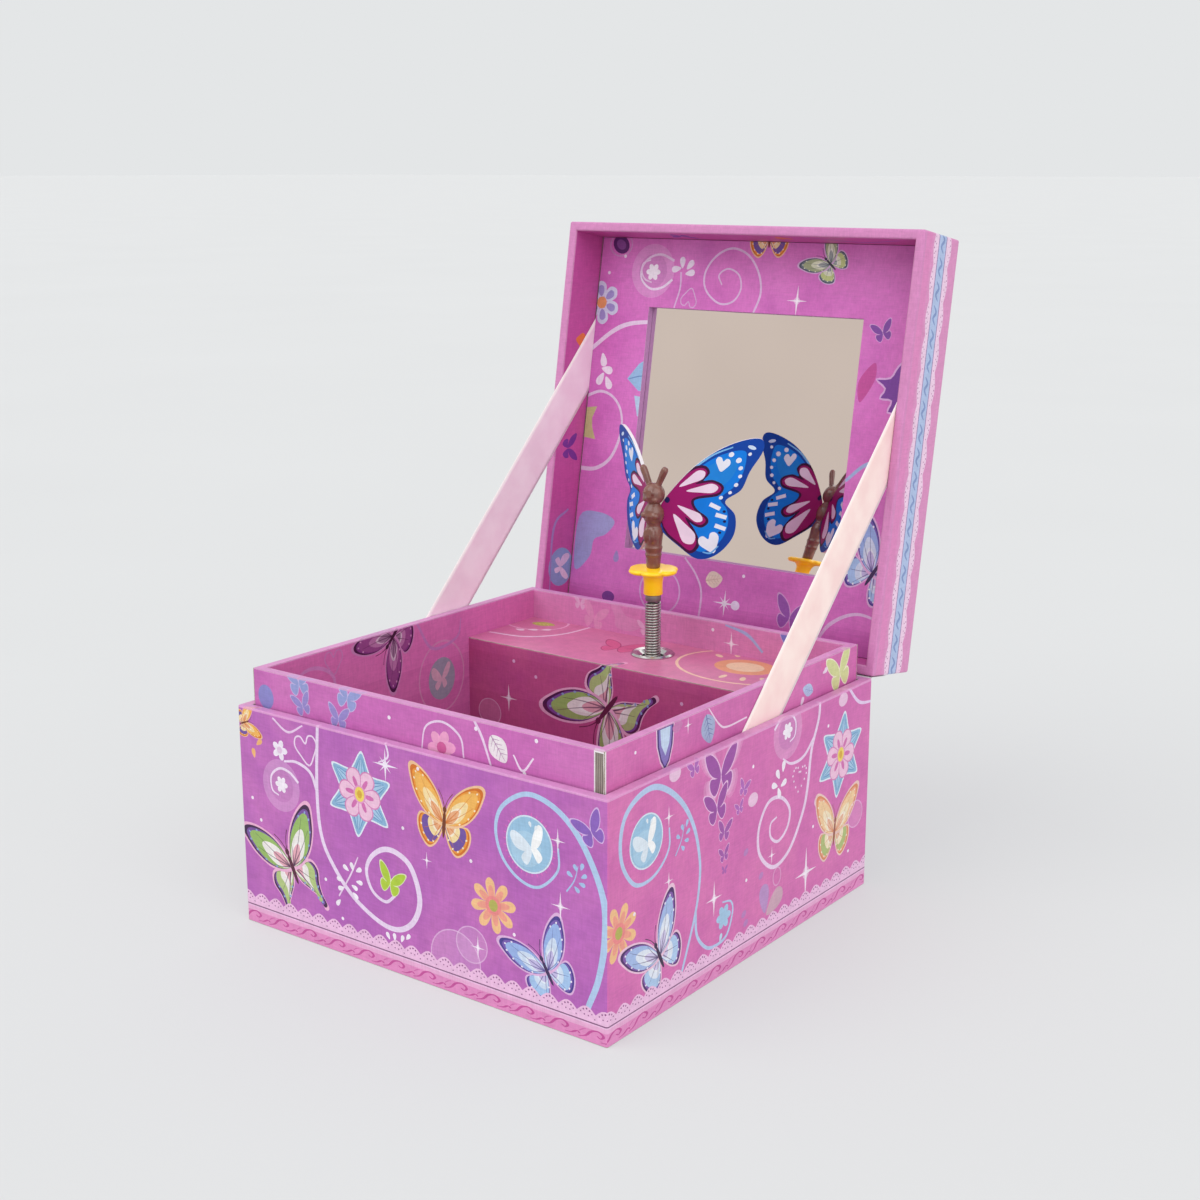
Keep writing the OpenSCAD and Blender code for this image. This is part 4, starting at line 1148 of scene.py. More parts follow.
def housing_art(top):
    """Big dark-edged butterfly on the front panel; arcs, leaf and medallion on the top panel; painted light
    on the top panel and along the fold up to it, and painted shade darkening the front panel towards the
    floor.
    """
    art = Art()
    butterfly(art, -3, 44.4, 141, 15, "swallow", True)
    sparkles(art, (-35.9, 41.4, 3))
    bubble(art, -42.6, 36.4, 4)
    art.dots([(-34, 52), (-26.5, 48.9), (20, 50), (33, 44)], 0.5, "E9B8E0")
    star_flower(art, 33, 33, 8, 10)
    art.stroke([(46, 50), (38, 44), (24, 40), (18, 30)], [0.6, 1, 0.8, 0.4], "C77FBE")

    def on_top(y):
        return top + y - HOUSING_Y

    # painted light: the top panel paler than the front, with a paler band along the fold between them
    art.band(60, top - 0.1, top + 40, "EE98BE78")
    art.band(60, top - 0.2, top + 0.4, "F0A8CC70")
    # painted shade: stacked dark bands, darker towards the floor
    for down in (3, 14, 25, 36):
        art.band(60, 0, top - down, "8E225C20")
    leaf(art, -46, on_top(45), 10, 7, 4.4, "B9BC4A", "E4D98A")
    ring_of(art, -45, on_top(46), 9.6, 8, 0.6, "EFB4D4")
    art.stroke([(-49, on_top(30)), (-38, on_top(32)), (-31.5, on_top(40)), (-29.5, on_top(53))],
               [0.9, 1, 0.9, 0.7], "F4CFE6")
    petals(art, [(-41, on_top(39), 20), (-38, on_top(41), 40), (-44, on_top(37), 0)], 3, "F6D8EA")
    shadow_butterfly(art, -10.8, on_top(37.8), 10, 6, "DC5F90", "B53F74")
    ring_of(art, 26, on_top(42), 19, 15, 0.8, "F8CFB4")
    art.oval(26, on_top(42), 8.4, 6.6, "F0A67C", 0, 26)
    art.oval(26, on_top(42), 5.2, 4, "F8D5B0", 0, 22)
    for k in range(11):
        a = math.radians(150 - k * 24)
        x, y = 26 + 13 * math.cos(a), on_top(42) + 10.4 * math.sin(a)
        art.oval(x, y, 1.7, 0.8, "F8D9B6", math.degrees(a), 10)
    return art


def housing_paper():
    """One sheet up the front of the music compartment and back over its top."""
    half = COLLAR_W - COLLAR_T - PAPER_LIFT
    top = HOUSING_TOP + PAPER_LIFT
    back = COLLAR_D - COLLAR_T - PAPER_LIFT
    rows = folded([(HOUSING_Y - PAPER_LIFT, FLOOR_TOP), (HOUSING_Y - PAPER_LIFT, top), (back, top)], 0.5)

    def place(u, v):
        y = np.interp(v - FLOOR_TOP, rows[:, 0], rows[:, 1])
        z = np.interp(v - FLOOR_TOP, rows[:, 0], rows[:, 2])
        return np.column_stack([u, y, z])

    hole = round_hole(STEM[0], top + STEM[1] - HOUSING_Y + PAPER_LIFT, EYELET_R - 1.9, 32)
    folds = [(1, FLOOR_TOP + s) for s in rows[1:-1, 0]]
    paper = printed("housing_paper", place, (-half, FLOOR_TOP), (half, FLOOR_TOP + rows[-1, 0]),
                    housing_art(top), print_paper("print_housing", "C4528C", "CC5F94", "B94C8E"),
                    folds, [hole], thick=0.05)
    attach(paper, "box")


def floor_paper():
    half = COLLAR_W - COLLAR_T - 0.1
    art = Art()
    art.stroke([(-40, -40), (-20, -20), (4, -26), (14, -8), (34, 4)], [0.6, 1.4, 1.2, 0.6], "D98CC8")
    butterfly(art, -18, -8, 20, 13, "purple")
    star_flower(art, 24, -24, 11, 15)
    daisy(art, -34, 8, 7)
    sparkles(art, (8, 8, 4))
    place = flat_place((0, 0, FLOOR_TOP + PAPER_LIFT), (1, 0, 0), (0, 1, 0))
    paper = printed("floor_paper", place, (-half, -(COLLAR_D - COLLAR_T - 0.1)), (half, HOUSING_Y - 0.1), art,
                    print_paper("print_lining", "B552A6", "C05CAA", "A84A9C"), thick=0.05)
    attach(paper, "box")


# ---------------------------------------------------------------- lid prints

def lid_trim(art, rim, half):
    """Blue braid with a wave along it, between thin lines and two rows of lace."""
    lace(art, rim + 8.0, rim + 5.4, half, 9, "F6D3EC", "B05A9C")
    art.band(half, rim + 8.0, rim + 8.35, "8C5C9E")
    art.band(half, rim + 8.3, rim + 12.2, "B4C6EA")
    count = round(2 * half / 6)
    for k in range(count):
        x = -half + (k + 0.5) * 2 * half / count
        wave = [(x - 2.4, rim + 9.4), (x - 0.8, rim + 10.9), (x + 0.8, rim + 9.6), (x + 2.4, rim + 11)]
        art.stroke(wave, [0.3, 0.9, 0.9, 0.3], "8297CA", 4)
    art.band(half, rim + 12.1, rim + 12.45, "8C5C9E")
    lace(art, rim + 12.4, rim + 15.2, half, 9, "F6D3EC", "B05A9C")


def lid_side_art(side, inner, rim, half):
    """v is the closed lid's height outside; the rim and the inside come before it."""
    art = Art()
    low = LID_LOW[2]
    height = LID_HIGH[2] - low

    def inside_v(z):
        return rim - WALL_T - 0.08 - (z - low)

    art.band(half, inside_v(inner), inside_v(low + 0.6), "CE5AA6")
    if side == 3:
        heart(art, 24, inside_v(low + 7), 180, 4.2, "F0803C")
        medal = inside_v(low + 8)
        art.oval(-43.4, medal, 5.8, 5.6, "93A9D6", 0, 24)
        side_butterfly(art, -43.4, medal, 175, 4.6, "E9CFEA", "F1DDF1")
        vine = [(-52, inside_v(low + 4)), (-32, inside_v(low + 3)), (-26, inside_v(low + 9))]
        art.stroke(vine, [0.4, 1, 0.6], "A98CC8")
        shadow_butterfly(art, -8, inside_v(low + 6), 190, 4, "7C3C9C")
    else:
        shadow_butterfly(art, -22, inside_v(low + 6), 170, 4, "7C3C9C", "C77FBE")
        heart(art, 12, inside_v(low + 5), 190, 5, "E0704E")
        vine = [(20, inside_v(low + 2)), (34, inside_v(low + 9)), (48, inside_v(low + 4))]
        art.stroke(vine, [0.4, 0.9, 0.5], "9A6AC0")
    art.band(half, inside_v(low + 0.6), rim + 3.4, "DC8CC2")
    art.band(half, rim + 1.2, rim + 4.6, "E588C2")
    art.band(half, rim + 4.4, rim + height + 3, "E291C4")
    lid_trim(art, rim, half)
    art.band(half, rim + height - 0.5, rim + height + 0.1, "D480B4")
    return art


def lid_paper():
    """Print on the lid's four walls: inside, over the rim, outside and onto the top."""
    low, high = LID_LOW[2], LID_HIGH[2]
    inner = LINING_LOW[2]
    turn_in = 2.0
    deep = WALL_T + 0.08
    path = [(deep, inner), (deep, low), (0, low), (0, high), (turn_in, high)]
    rows = folded(path, 0.55)
    rim = (inner - low) + deep
    skin = print_paper("print_lid_side", "DE80BE", "E48CC4", "D272B4")
    first = None
    for side in range(4):
        place, reach, folds = side_place(side, HALF_W, HALF_D, rows, 0.6, 0.0, open_lid)
        end = rows[-1, 0]
        paper = printed("lid_paper_" + SIDES[side], place, (-reach, 0), (reach, end),
                        lid_side_art(side, inner, rim, reach + 1), skin, folds)
        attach(paper, "lid")
        first = first or paper
    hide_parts("lid_wrap")

    def top_place(u, v):
        return open_lid(np.column_stack([u, v, np.full(len(u), high)]))

    art = Art()
    hidden_top_print(art)
    half_w, half_d = HALF_W - turn_in - 0.02, HALF_D - turn_in - 0.02
    sheet = printed("lid_paper_top", top_place, (-half_w, -half_d), (half_w, half_d), art,
                    print_paper("print_top", "BF66B8", "CC72BE", "B25AAE"))
    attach(sheet, "lid")


def hidden_top_print(art):
    """The lid's outside, which the photo does not show."""
    art.stroke([(-52, -40), (-34, -18), (-40, 10), (-20, 24), (-4, 14), (-10, 2), (-20, 6)],
               [0.8, 1.6, 1.8, 1.2, 0.6], "EFD9F4")
    art.stroke([(50, -48), (42, -20), (48, 12), (34, 34), (16, 32), (16, 18), (26, 18)], [1.2, 1.8, 1.4, 0.6],
               "B5CFF0")
    butterfly(art, 0, -6, 8, 26, "blue")
    butterfly(art, -34, 34, 30, 13, "purple")
    butterfly(art, 36, -34, -24, 12, "orange")
    star_flower(art, -34, -30, 13, 15)
    daisy(art, 28, 40, 8)
    halo_ring(art, 2, 42, 8)
    sparkles(art, (-10, -42, 4), (44, 2, 3), (-48, 6, 3))


def lining_front(art):
    """Print on the strip of the panel in front of the mirror, and at its front left corner."""
    halo_ring(art, -33.9, -44, 7.2)
    art.stroke([(-27, -47), (-31.4, -48.6), (-35.4, -47.6), (-37.8, -44.6), (-36.6, -41.8), (-34, -40.8)],
               [0.7, 0.6, 0.4], "EBCBEA")
    petals(art, [(-24.2, -46.6, -95), (-21.6, -46, -50), (-26, -44.8, 170), (-21.4, -43.8, -10)], 3.2,
           "F3E2F6")
    art.stroke([(-24.4, -44), (-24.2, -39.5), (-25.6, -34)], [0.5, 0.5, 0.4], "E3BCE4")
    art.stroke([(0, -33), (2, -39), (0.8, -44.5), (-3, -49.2), (-8.4, -50.9), (-13.4, -48.6), (-16.4, -44),
                (-15.6, -39.4), (-11, -36), (-6.6, -36.6), (-4.4, -40), (-5.4, -43.8), (-9, -45.4),
                (-11.8, -43.6), (-10.6, -41)], [0.6, 0.6, 0.5, 0.4], "E5BFE6")
    heart_line(art, -20.8, -37, 10, 5, "DDB0DC")
    art.oval(-45.7, -51, 3, 2.4, "5E2370", 30)
    art.oval(-45.7, -51, 1.8, 1.3, "8A4A9A", 30)
    ring_of(art, -45.7, -51, 4, 3.4, 0.4, "D79AD2")
    for i in range(6):
        pen = art.at(-50.6, -34.5, i * 60 + 20)
        pen.blob([(1.2, 0), (2.6, 1.6), (5, 1.8), (6.2, 0), (5, -1.8), (2.6, -1.6)], "DADCF4")
        pen.blob([(1.8, 0), (2.8, 0.9), (4.4, 1), (5, 0), (4.4, -1), (2.8, -0.9)], "A79AD6", 3)
    art.oval(-50.6, -34.5, 1.7, 1.7, "F0A26A")
    art.dots([(-49, -43), (-43.9, -47.8), (32, -6), (44.5, -6)], 0.5, "F4E3F4")


def lining_left(art):
    """Print on the strip left of the mirror."""
    art.stroke([(-53, -21), (-46, -26.4), (-40, -29), (-31, -30)], [1.2, 1.3, 1.0], "EFD3F0")
    art.fill([(-39, -13.6), (-35.4, -18), (-32, -20), (-30, -16), (-31, -10.6), (-34.8, -10.4)], "9CC3EA")
    art.fill([(-36, -9), (-31, -8.6), (-31, -2), (-34.4, -3.4)], "BBD5F0")
    art.stroke([(-38.4, -13.6), (-34.4, -14.6), (-31, -14.4)], [0.3, 0.35, 0.3], "6E96CE")
    petals(art, [(-48, -18.4, 75), (-46.4, -15.6, 10), (-48.4, -13, 120), (-45.6, -12, 60)], 4, "F6E4F6")
    art.stroke([(-53, -7.6), (-47.9, -9.4), (-43.2, -8), (-40, -4), (-39.4, 2), (-42, 9), (-47, 12.6),
                (-53, 13)], [0.9, 0.7, 0.7, 1.0, 1.2], "E9CBEA")
    art.at(-50, 0, 0).fill([(-2.6, -4.4), (1.4, -5), (0, -1.6), (0.3, 1), (1.8, 4.4), (-2.6, 4)], "CFC98E")


def lining_right(art):
    """Print at the front right, and on the strip right of the mirror."""
    butterfly(art, 3, -54, 178, 8, "orange")
    butterfly(art, 22.4, -47.6, 130, 6.6, "teal")
    sparkles(art, (13.5, -37.7, 3.2))
    shadow_butterfly(art, 40, -30.5, 160, 3, "8648A8", "DDA9DC")
    art.blob([(38.6, -23), (39.4, -19.6), (38, -16), (35.4, -12.6), (34.6, -18)], "CB4FA0")
    wing_edge = [(53, -29), (49, -25.5), (45.5, -22.5), (43.6, -19.4), (39.6, -18.8), (42.4, -16.6),
                 (41.2, -14), (44.6, -13.6), (43.8, -10.6), (47.6, -10.4), (48.6, -7.6), (53, -7)]
    art.fill(wing_edge, "7E3FA2")
    art.stroke(wing_edge, [0.5, 0.5], "E3B0E4", 3)
    butterfly(art, 45, 31, 210, 11, "blue")
    art.stroke([(34, 8), (40, 3), (48, 2), (53, 6)], [0.8, 1.1, 1.0], "A9BCE8")


def lining_back(art):
    """Print on the strip next to the hinge."""
    art.blob([(-51, 27), (-44, 25), (-38.4, 27), (-41, 31), (-45, 33), (-46, 38), (-51, 42)], "A8A9DE")
    petals(art, [(-36.6, 36.8, 90)], 3.4, "A58CCC")
    ring_of(art, -20.5, 44.6, 7, 6.6, 0.5, "DFB0E0")
    art.stroke([(-13.2, 34.2), (-9, 38.4), (-6.6, 43.4), (-6.8, 52)], [0.5, 0.6, 0.6], "E5BFE6")
    leaf(art, -5.6, 39.6, -14, 5.4, 5, "F0DCCB", "D9B7A8")
    star8(art, 1.2, 45, 3.8)
    art.oval(4.7, 45.1, 1.4, 1.3, "EFE2F8")
    art.oval(-38, 48.6, 2.2, 1.6, "6F3C94")
    art.dots([(6.4, 36.8)], 0.5, "F8EAF8")
    shadow_butterfly(art, 22, 46, 190, 5, "9D58B4", "DDA9DC")
    art.stroke([(30, 53), (34, 46), (42, 42), (52, 44)], [0.6, 1, 0.8, 0.5], "E5BFE6")


def lining_art(half_w, half_d):
    """Print on the panel round the mirror, with painted shade darkening it towards the hinge, in the closed
    lid's own x and y.
    """
    art = Art()
    lining_front(art)
    lining_left(art)
    lining_right(art)
    lining_back(art)
    # painted shade: stacked dark bands, darker towards the hinge edge, where the open lid meets the box
    for k in range(5):
        art.band(half_w, half_d, half_d - 1.6 - k * 1.3, "8C2F7C1C")
    return art


def lining_paper():
    """Paper on the panel round the mirror, with its square window."""
    half = (HALF_W - WALL_T - 0.4, HALF_D - WALL_T - 0.2)
    level = LINING_LOW[2] - PAPER_LIFT
    window = (MIRROR_HIGH[0] - MIRROR_LOW[0]) / 2 - 2.0

    def place(u, v):
        return open_lid(np.column_stack([u, -v, np.full(len(u), level)]))

    art = lining_art(*half)
    art.layers = [(outline * (1, -1), colour) for outline, colour in art.layers]
    hole = [(-window, -window), (window, -window), (window, window), (-window, window)]
    paper = printed("lining_paper", place, (-half[0], -half[1]), (half[0], half[1]), art,
                    print_paper("print_lid_lining", "DE72C8", "E67ED0", "D268C0"), (), [hole], thick=0.05)
    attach(paper, "lid")


def mirror_shading(points):
    """Where the mirror faces at each point for its shading: bowed and twisted, as in the photo."""
    twist = -9.6 + 0.14 * (points[:, 0] + np.maximum(points[:, 1] + 1, 0))
    share = np.interp(points[:, 0], [-17, -8], [0, 1])
    yaw = np.radians(share * twist + (1 - share) * 2)
    pitch = np.full(len(points), math.radians(1.6))
    lean = np.column_stack([np.sin(yaw), np.sin(pitch), -np.cos(yaw) * np.cos(pitch)])
    return open_lid(lean + HINGE_AT) - open_lid(np.array([HINGE_AT]))


def mirror_sheet():
    """The flat mirror; only its shading is bent, so what it shows sits where the photo has it."""
    low, high = MIRROR_LOW, MIRROR_HIGH
    count = 24
    row = count + 1
    grid = [(x, y) for x in np.linspace(low[0], high[0], row) for y in np.linspace(low[1], high[1], row)]
    n = len(grid)
    front = np.column_stack([grid, np.full(n, low[2])])
    back = np.column_stack([grid, np.full(n, high[2])])
    quads = [(i * row + j, i * row + j + 1, (i + 1) * row + j + 1, (i + 1) * row + j)
             for i in range(count) for j in range(count)]
    faces = quads + [tuple(k + n for k in q[::-1]) for q in quads]
    last = count * row
    rim = [(i, i + 1) for i in range(count)]
    rim += [(count + i * row, count + (i + 1) * row) for i in range(count)]
    rim += [(last + i + 1, last + i) for i in range(count)]
    rim += [((i + 1) * row, i * row) for i in range(count)]
    faces += [(b, a, a + n, b + n) for a, b in rim]
    obj = add_mesh("mirror_sheet", open_lid(np.vstack([front, back])), faces, mirror_glass())
    bent = mirror_shading(front)
    flat = [tuple(polygon.normal) for polygon in obj.data.polygons]
    normals = [tuple(bent[k]) if i < len(quads) else flat[i] for i, face in enumerate(faces) for k in face]
    obj.data.normals_split_custom_set(normals)
    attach(obj, "lid")
    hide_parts("mirror")


def hinge_paper():
    """The strip pasted down the back of box and lid, bent at the hinge line as the lid stands open."""
    low, high = node_box("paper_hinge")
    leg = HINGE_AT[2] - low[2]
    half = (high[0] - low[0]) / 2
    out = HALF_D + 0.32
    flat = np.array([[out, HINGE_AT[2] - leg], [out, HINGE_AT[2] - 0.5]])
    lid_legs = np.array([[0, out, HINGE_AT[2] + 0.6], [0, out, HINGE_AT[2] + leg]])
    turned = open_lid(lid_legs)[:, 1:]
    path = np.vstack([flat, turned])
    rows = folded(path, 0.6, 6)
    span = rows[-1, 0]

    def place(u, v):
        y = np.interp(v, rows[:, 0], rows[:, 1])
        z = np.interp(v, rows[:, 0], rows[:, 2])
        return np.column_stack([-u, y, z])

    art = Art()
    butterfly(art, -half + 5, span / 2 + 1, 40, 5, "lime")
    butterfly(art, 10, span / 2, -20, 5, "purple")
    art.stroke([(-30, 2), (-16, span - 3), (2, 3)], [0.4, 0.9, 0.4], "EFD3F0")
    folds = [(1, s) for s in rows[1:-1, 0]]
    folds += [(1, s) for s in np.arange(1.0, span, 1.0)]
    paper = printed("hinge_paper", place, (-half, 0), (half, span), art,
                    print_paper("print_hinge", "CF70BC", "D97CC2", "C266B4"), folds, thick=0.1)
    end = open_lid(np.array([0, out, HINGE_AT[2] + 2.5]))
    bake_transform(paper)
    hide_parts("paper_hinge")


# ---------------------------------------------------------------- ribbons

def lid_reach(start, ahead, level):
    """How far along the ribbon the lid's own height reaches that level."""
    here = turn_lid(np.array([0, *start]), LID_OPEN)[2]
    step = turn_lid(np.array([0, *(start + ahead)]), LID_OPEN)[2] - here
    return (level - here) / step


RIBBON_WIDTH = 12.0
RIBBON_SLOPE = 44.6
RIBBON_FOOT = np.array([7.1, BOX_TOP - 0.7])  # y and z where its middle line leaves the box
RIBBON_ROWS = 90
RIBBON_COLUMNS = 11


def ribbon_faces():
    """Faces of a closed strip: a grid of points in front, the same grid behind, and the four edges."""
    columns = RIBBON_COLUMNS
    n = RIBBON_ROWS * columns
    faces = []
    for i in range(RIBBON_ROWS - 1):
        for j in range(columns - 1):
            a = i * columns + j
            b = a + columns
            faces.append((a, a + 1, b + 1, b))
            faces.append((n + a, n + b, n + b + 1, n + a + 1))
    for i in range(RIBBON_ROWS - 1):
        for j, order in ((0, 1), (columns - 1, -1)):
            a = i * columns + j
            b = a + columns
            faces.append((a, b, n + b, n + a)[::order])
    for i, order in ((0, 1), (RIBBON_ROWS - 1, -1)):
        for j in range(columns - 1):
            a = i * columns + j
            faces.append((a, a + 1, n + a + 1, n + a)[::order])
    return faces


def ribbon_mesh(name, front, back):
    """Satin mesh; the alpha of its colour marks the two woven edges."""
    mesh = bpy.data.meshes.new(name)
    mesh.from_pydata((np.vstack([front, back]) * MM).tolist(), [], ribbon_faces())
    ink = np.zeros((len(mesh.vertices), 4), np.float32)
    ink[:, :3] = tone("FDF3F0")[:3]
    is_edge = np.zeros(RIBBON_COLUMNS, bool)
    is_edge[[0, -1]] = True
    ink[:, 3] = np.tile(is_edge, 2 * RIBBON_ROWS) * 0.9
    layer = mesh.color_attributes.new("ink", "FLOAT_COLOR", "POINT")
    layer.data.foreach_set("color", ink.ravel())
    mesh.polygons.foreach_set("use_smooth", np.ones(len(mesh.polygons), bool))
    return mesh


def ribbon(side):
    """A satin strip with looped edges, from the slot by the collar up to the back of the lid."""
    name = "right_ribbon" if side > 0 else "left_ribbon"
    node = np.array([v.co for v in NODES[name].data.vertices]) / MM
    x = node[:, 0].mean()
    slope = math.radians(RIBBON_SLOPE)
    ahead = np.array([math.cos(slope), math.sin(slope)])
    across = np.array([-ahead[1], ahead[0]])
    foot = RIBBON_FOOT
    tuck = node[:, 2].min() + 0.3
    lid_level = turn_lid(node, LID_OPEN)[:, 2].max() - 0.4
    w = np.linspace(-1, 1, RIBBON_COLUMNS)
    begin = [(tuck - (foot + across * v * RIBBON_WIDTH / 2)[1]) / ahead[1] for v in w]
    finish = [lid_reach(foot + across * v * RIBBON_WIDTH / 2, ahead, lid_level) for v in w]
    rows = []
    for t in np.linspace(0, 1, RIBBON_ROWS):
        for v, first, last in zip(w, begin, finish):
            edge = foot + across * (v * RIBBON_WIDTH / 2) + ahead * (first + (last - first) * t)
            bow = 0.12 * math.sin(math.pi * t) * (1 - v * v)
            rows.append((x + bow * side, edge[0], edge[1]))
    rows = np.array(rows)
    half_thick = np.array([0.1, 0, 0])
    mesh = ribbon_mesh(name + "_satin", rows + half_thick, rows - half_thick)
    if side > 0:
        obj = put(name + "_satin", mesh, satin_cloth("satin_right", "F9D6D2", "FFE6DF"))
    else:
        # painted reflection: this strip of the same satin is tinted lilac, standing in for the pink box and
        # lid it reflects
        obj = put(name + "_satin", mesh, satin_cloth("satin_left", "F8DDE9", "FFECF3"))
        obj.visible_glossy = False  # the photo's mirror doesn't show this ribbon
    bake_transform(obj)
    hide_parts(name)


# ---------------------------------------------------------------- figure

def spring():
    """Close-coiled steel wire from inside the eyelet up to the ferrule."""
    low, high = node_box("spring_stem")
    outer = (high[0] - low[0]) / 2
    wire = 0.33
    r = outer - wire
    turns = (high[2] - low[2] - 2 * wire) / 0.72
    count = int(turns * 20)
    a = np.linspace(0, turns * 2 * math.pi, count)
    z = np.linspace(low[2] + wire, high[2] - wire, count)
    line = np.column_stack([STEM[0] + r * np.cos(a), STEM[1] + r * np.sin(a), z])
    verts, faces = tube(line, wire, 7)
    obj = add_mesh("spring_coils", verts, faces, brushed("spring_steel", "B9B6B2", 0.26))
    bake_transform(obj)
    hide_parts("spring_stem")


def ferrule():
    low, high = node_box("spring_ferrule")
    r = (high[0] - low[0]) / 2
    profile = [(r * 0.9, low[2]), (r, low[2] + 0.15), (r, high[2] - 0.3), (r * 0.94, high[2] - 0.05),
               (r * 0.9, high[2])]
    verts, faces = lathe(profile, 32, STEM[:2])
    obj = add_mesh("ferrule", verts, faces, plain("ferrule_grey", "8F8A85", 0.5, 0.6))
    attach(obj, "figure_carrier")
    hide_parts("spring_ferrule")


def flower():
    """Yellow moulding: flared hub under a scalloped plate with rounded petals."""
    low, high = node_box("flower_base")
    reach = (high[0] - low[0]) / 2
    top = high[2]
    plate_low = top - 1.4
    hub = 2.5

    def scallop(a, z):
        if z < plate_low - 0.05:
            return 1.0
        return 1 - 0.17 * (1 - abs(math.cos(3 * a)) ** 0.45)

    profile = [(hub - 0.15, low[2]), (hub, low[2] + 0.15), (hub - 0.05, low[2] + 3),
               (hub + 0.15, plate_low - 1.0), (hub + 0.7, plate_low - 0.3), (hub + 1.6, plate_low),
               (reach - 0.7, plate_low + 0.1), (reach - 0.15, plate_low + 0.4),
               (reach, plate_low + 0.75), (reach - 0.2, plate_low + 1.1),
               (reach - 0.8, top - 0.05), (reach - 1.6, top), (3.2, top - 0.1), (2.4, top)]
    verts, faces = lathe(profile, 72, STEM[:2], scallop)
    s = Shader("yellow_plastic", Roughness=0.3, Coat_Weight=0.25, Coat_Roughness=0.2, Specular_IOR_Level=0.5,
               Subsurface_Weight=0.08, Subsurface_Scale=0.002)
    s.colour(s.ramp(s.noise(0.4, 3.0), (0.3, tone("FFC40A")), (0.7, tone("FFD21A"))))
    # painted glow: a little emission brightens the plate where it lies in shade
    s.glow("FFC810", 0.2)
    s.bump(s.noise(1.6, 3.0), 0.12, 0.06)
    obj = add_mesh("flower_plate", verts, faces, s.material)
    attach(obj, "figure")
    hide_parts("flower_base")


def melt(name, parts, voxel, material):
    """Joins overlapping shapes into one moulded skin."""
    verts, faces = [], []
    for part_verts, part_faces in parts:
        base = len(verts)
        verts.extend(part_verts)
        faces.extend(tuple(i + base for i in f) for f in part_faces)
    rough = add_mesh(name + "_rough", verts, faces, material)
    remesh = rough.modifiers.new("skin", "REMESH")
    remesh.mode = "VOXEL"
    remesh.voxel_size = voxel * MM
    soften = rough.modifiers.new("soften", "SMOOTH")
    soften.iterations = 6
    soften.factor = 0.5
    bpy.context.view_layer.update()
    mesh = bpy.data.meshes.new_from_object(rough.evaluated_get(bpy.context.evaluated_depsgraph_get()))
    bpy.data.objects.remove(rough)
    mesh.polygons.foreach_set("use_smooth", np.ones(len(mesh.polygons), bool))
    return put(name, mesh, material)


def figure_body():
    """Brown moulded body: segmented trunk, chest, round head with a simple face, two thick antennae."""
    x, y = STEM[:2]
    base = node_box("butterfly_body")[0][2]
    trunk = [(0.1, 0), (1.7, 0), (1.85, 0.5), (1.9, 1.6), (2.0, 3.0), (2.2, 3.5), (2.05, 4.0), (2.25, 5.0),
             (2.42, 5.4), (2.2, 5.9), (2.3, 7.2), (2.5, 9.0), (2.2, 10.4), (1.85, 11.0), (2.0, 11.8),
             (2.5, 12.6), (2.75, 13.8), (2.6, 15.2), (2.0, 16.2), (1.4, 17), (0.1, 17.2)]
    parts = [lathe([(r, base + h) for r, h in trunk], 32, (x, y))]
    head_z = base + 19.3
    parts.append(ball((x, y, head_z), (2.95, 2.85, 2.9)))
    parts.append(ball((x, y - 2.35, head_z - 0.5), (0.75, 0.7, 0.6)))
    for side in (-1, 1):
        parts.append(ball((x + side * 1.15, y - 2.2, head_z + 0.55), (0.62, 0.6, 0.6)))
        parts.append(ball((x + side * 1.3, y - 1.5, head_z - 1.2), (1.0, 1.0, 0.8)))
        parts.append(ball((x + side * 0.95, y - 1.5, base + 8.6), (1.0, 1.15, 2.2)))
        parts.append(ball((x + side * 1.5, y - 1.5, base + 13.9), (1.25, 1.3, 0.95)))
        tilt = math.radians(26)
        foot = np.array([x + side * 0.8, y, head_z + 1.2])
        ahead = np.array([side * math.sin(tilt), 0, math.cos(tilt)])
        line = [foot + ahead * d for d in np.linspace(0, 6.6, 12)]
        radii = np.interp(np.linspace(0, 1, 12), [0, 0.3, 0.75, 0.9, 1], [1.0, 0.8, 0.98, 0.95, 0.55])
        parts.append(tube(line, radii, 14))
    s = Shader("brown_plastic", Roughness=0.26, Coat_Weight=0.5, Coat_Roughness=0.18, Specular_IOR_Level=0.55)
    s.colour(s.ramp(s.noise(0.5, 4.0), (0.3, tone("6E4238")), (0.7, tone("885648"))))
    s.bump(s.noise(1.3, 4.0, 0.6), 0.25, 0.1)
    obj = melt("butterfly_moulding", parts, 0.16, s.material)
    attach(obj, "figure")
    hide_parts("butterfly_body")


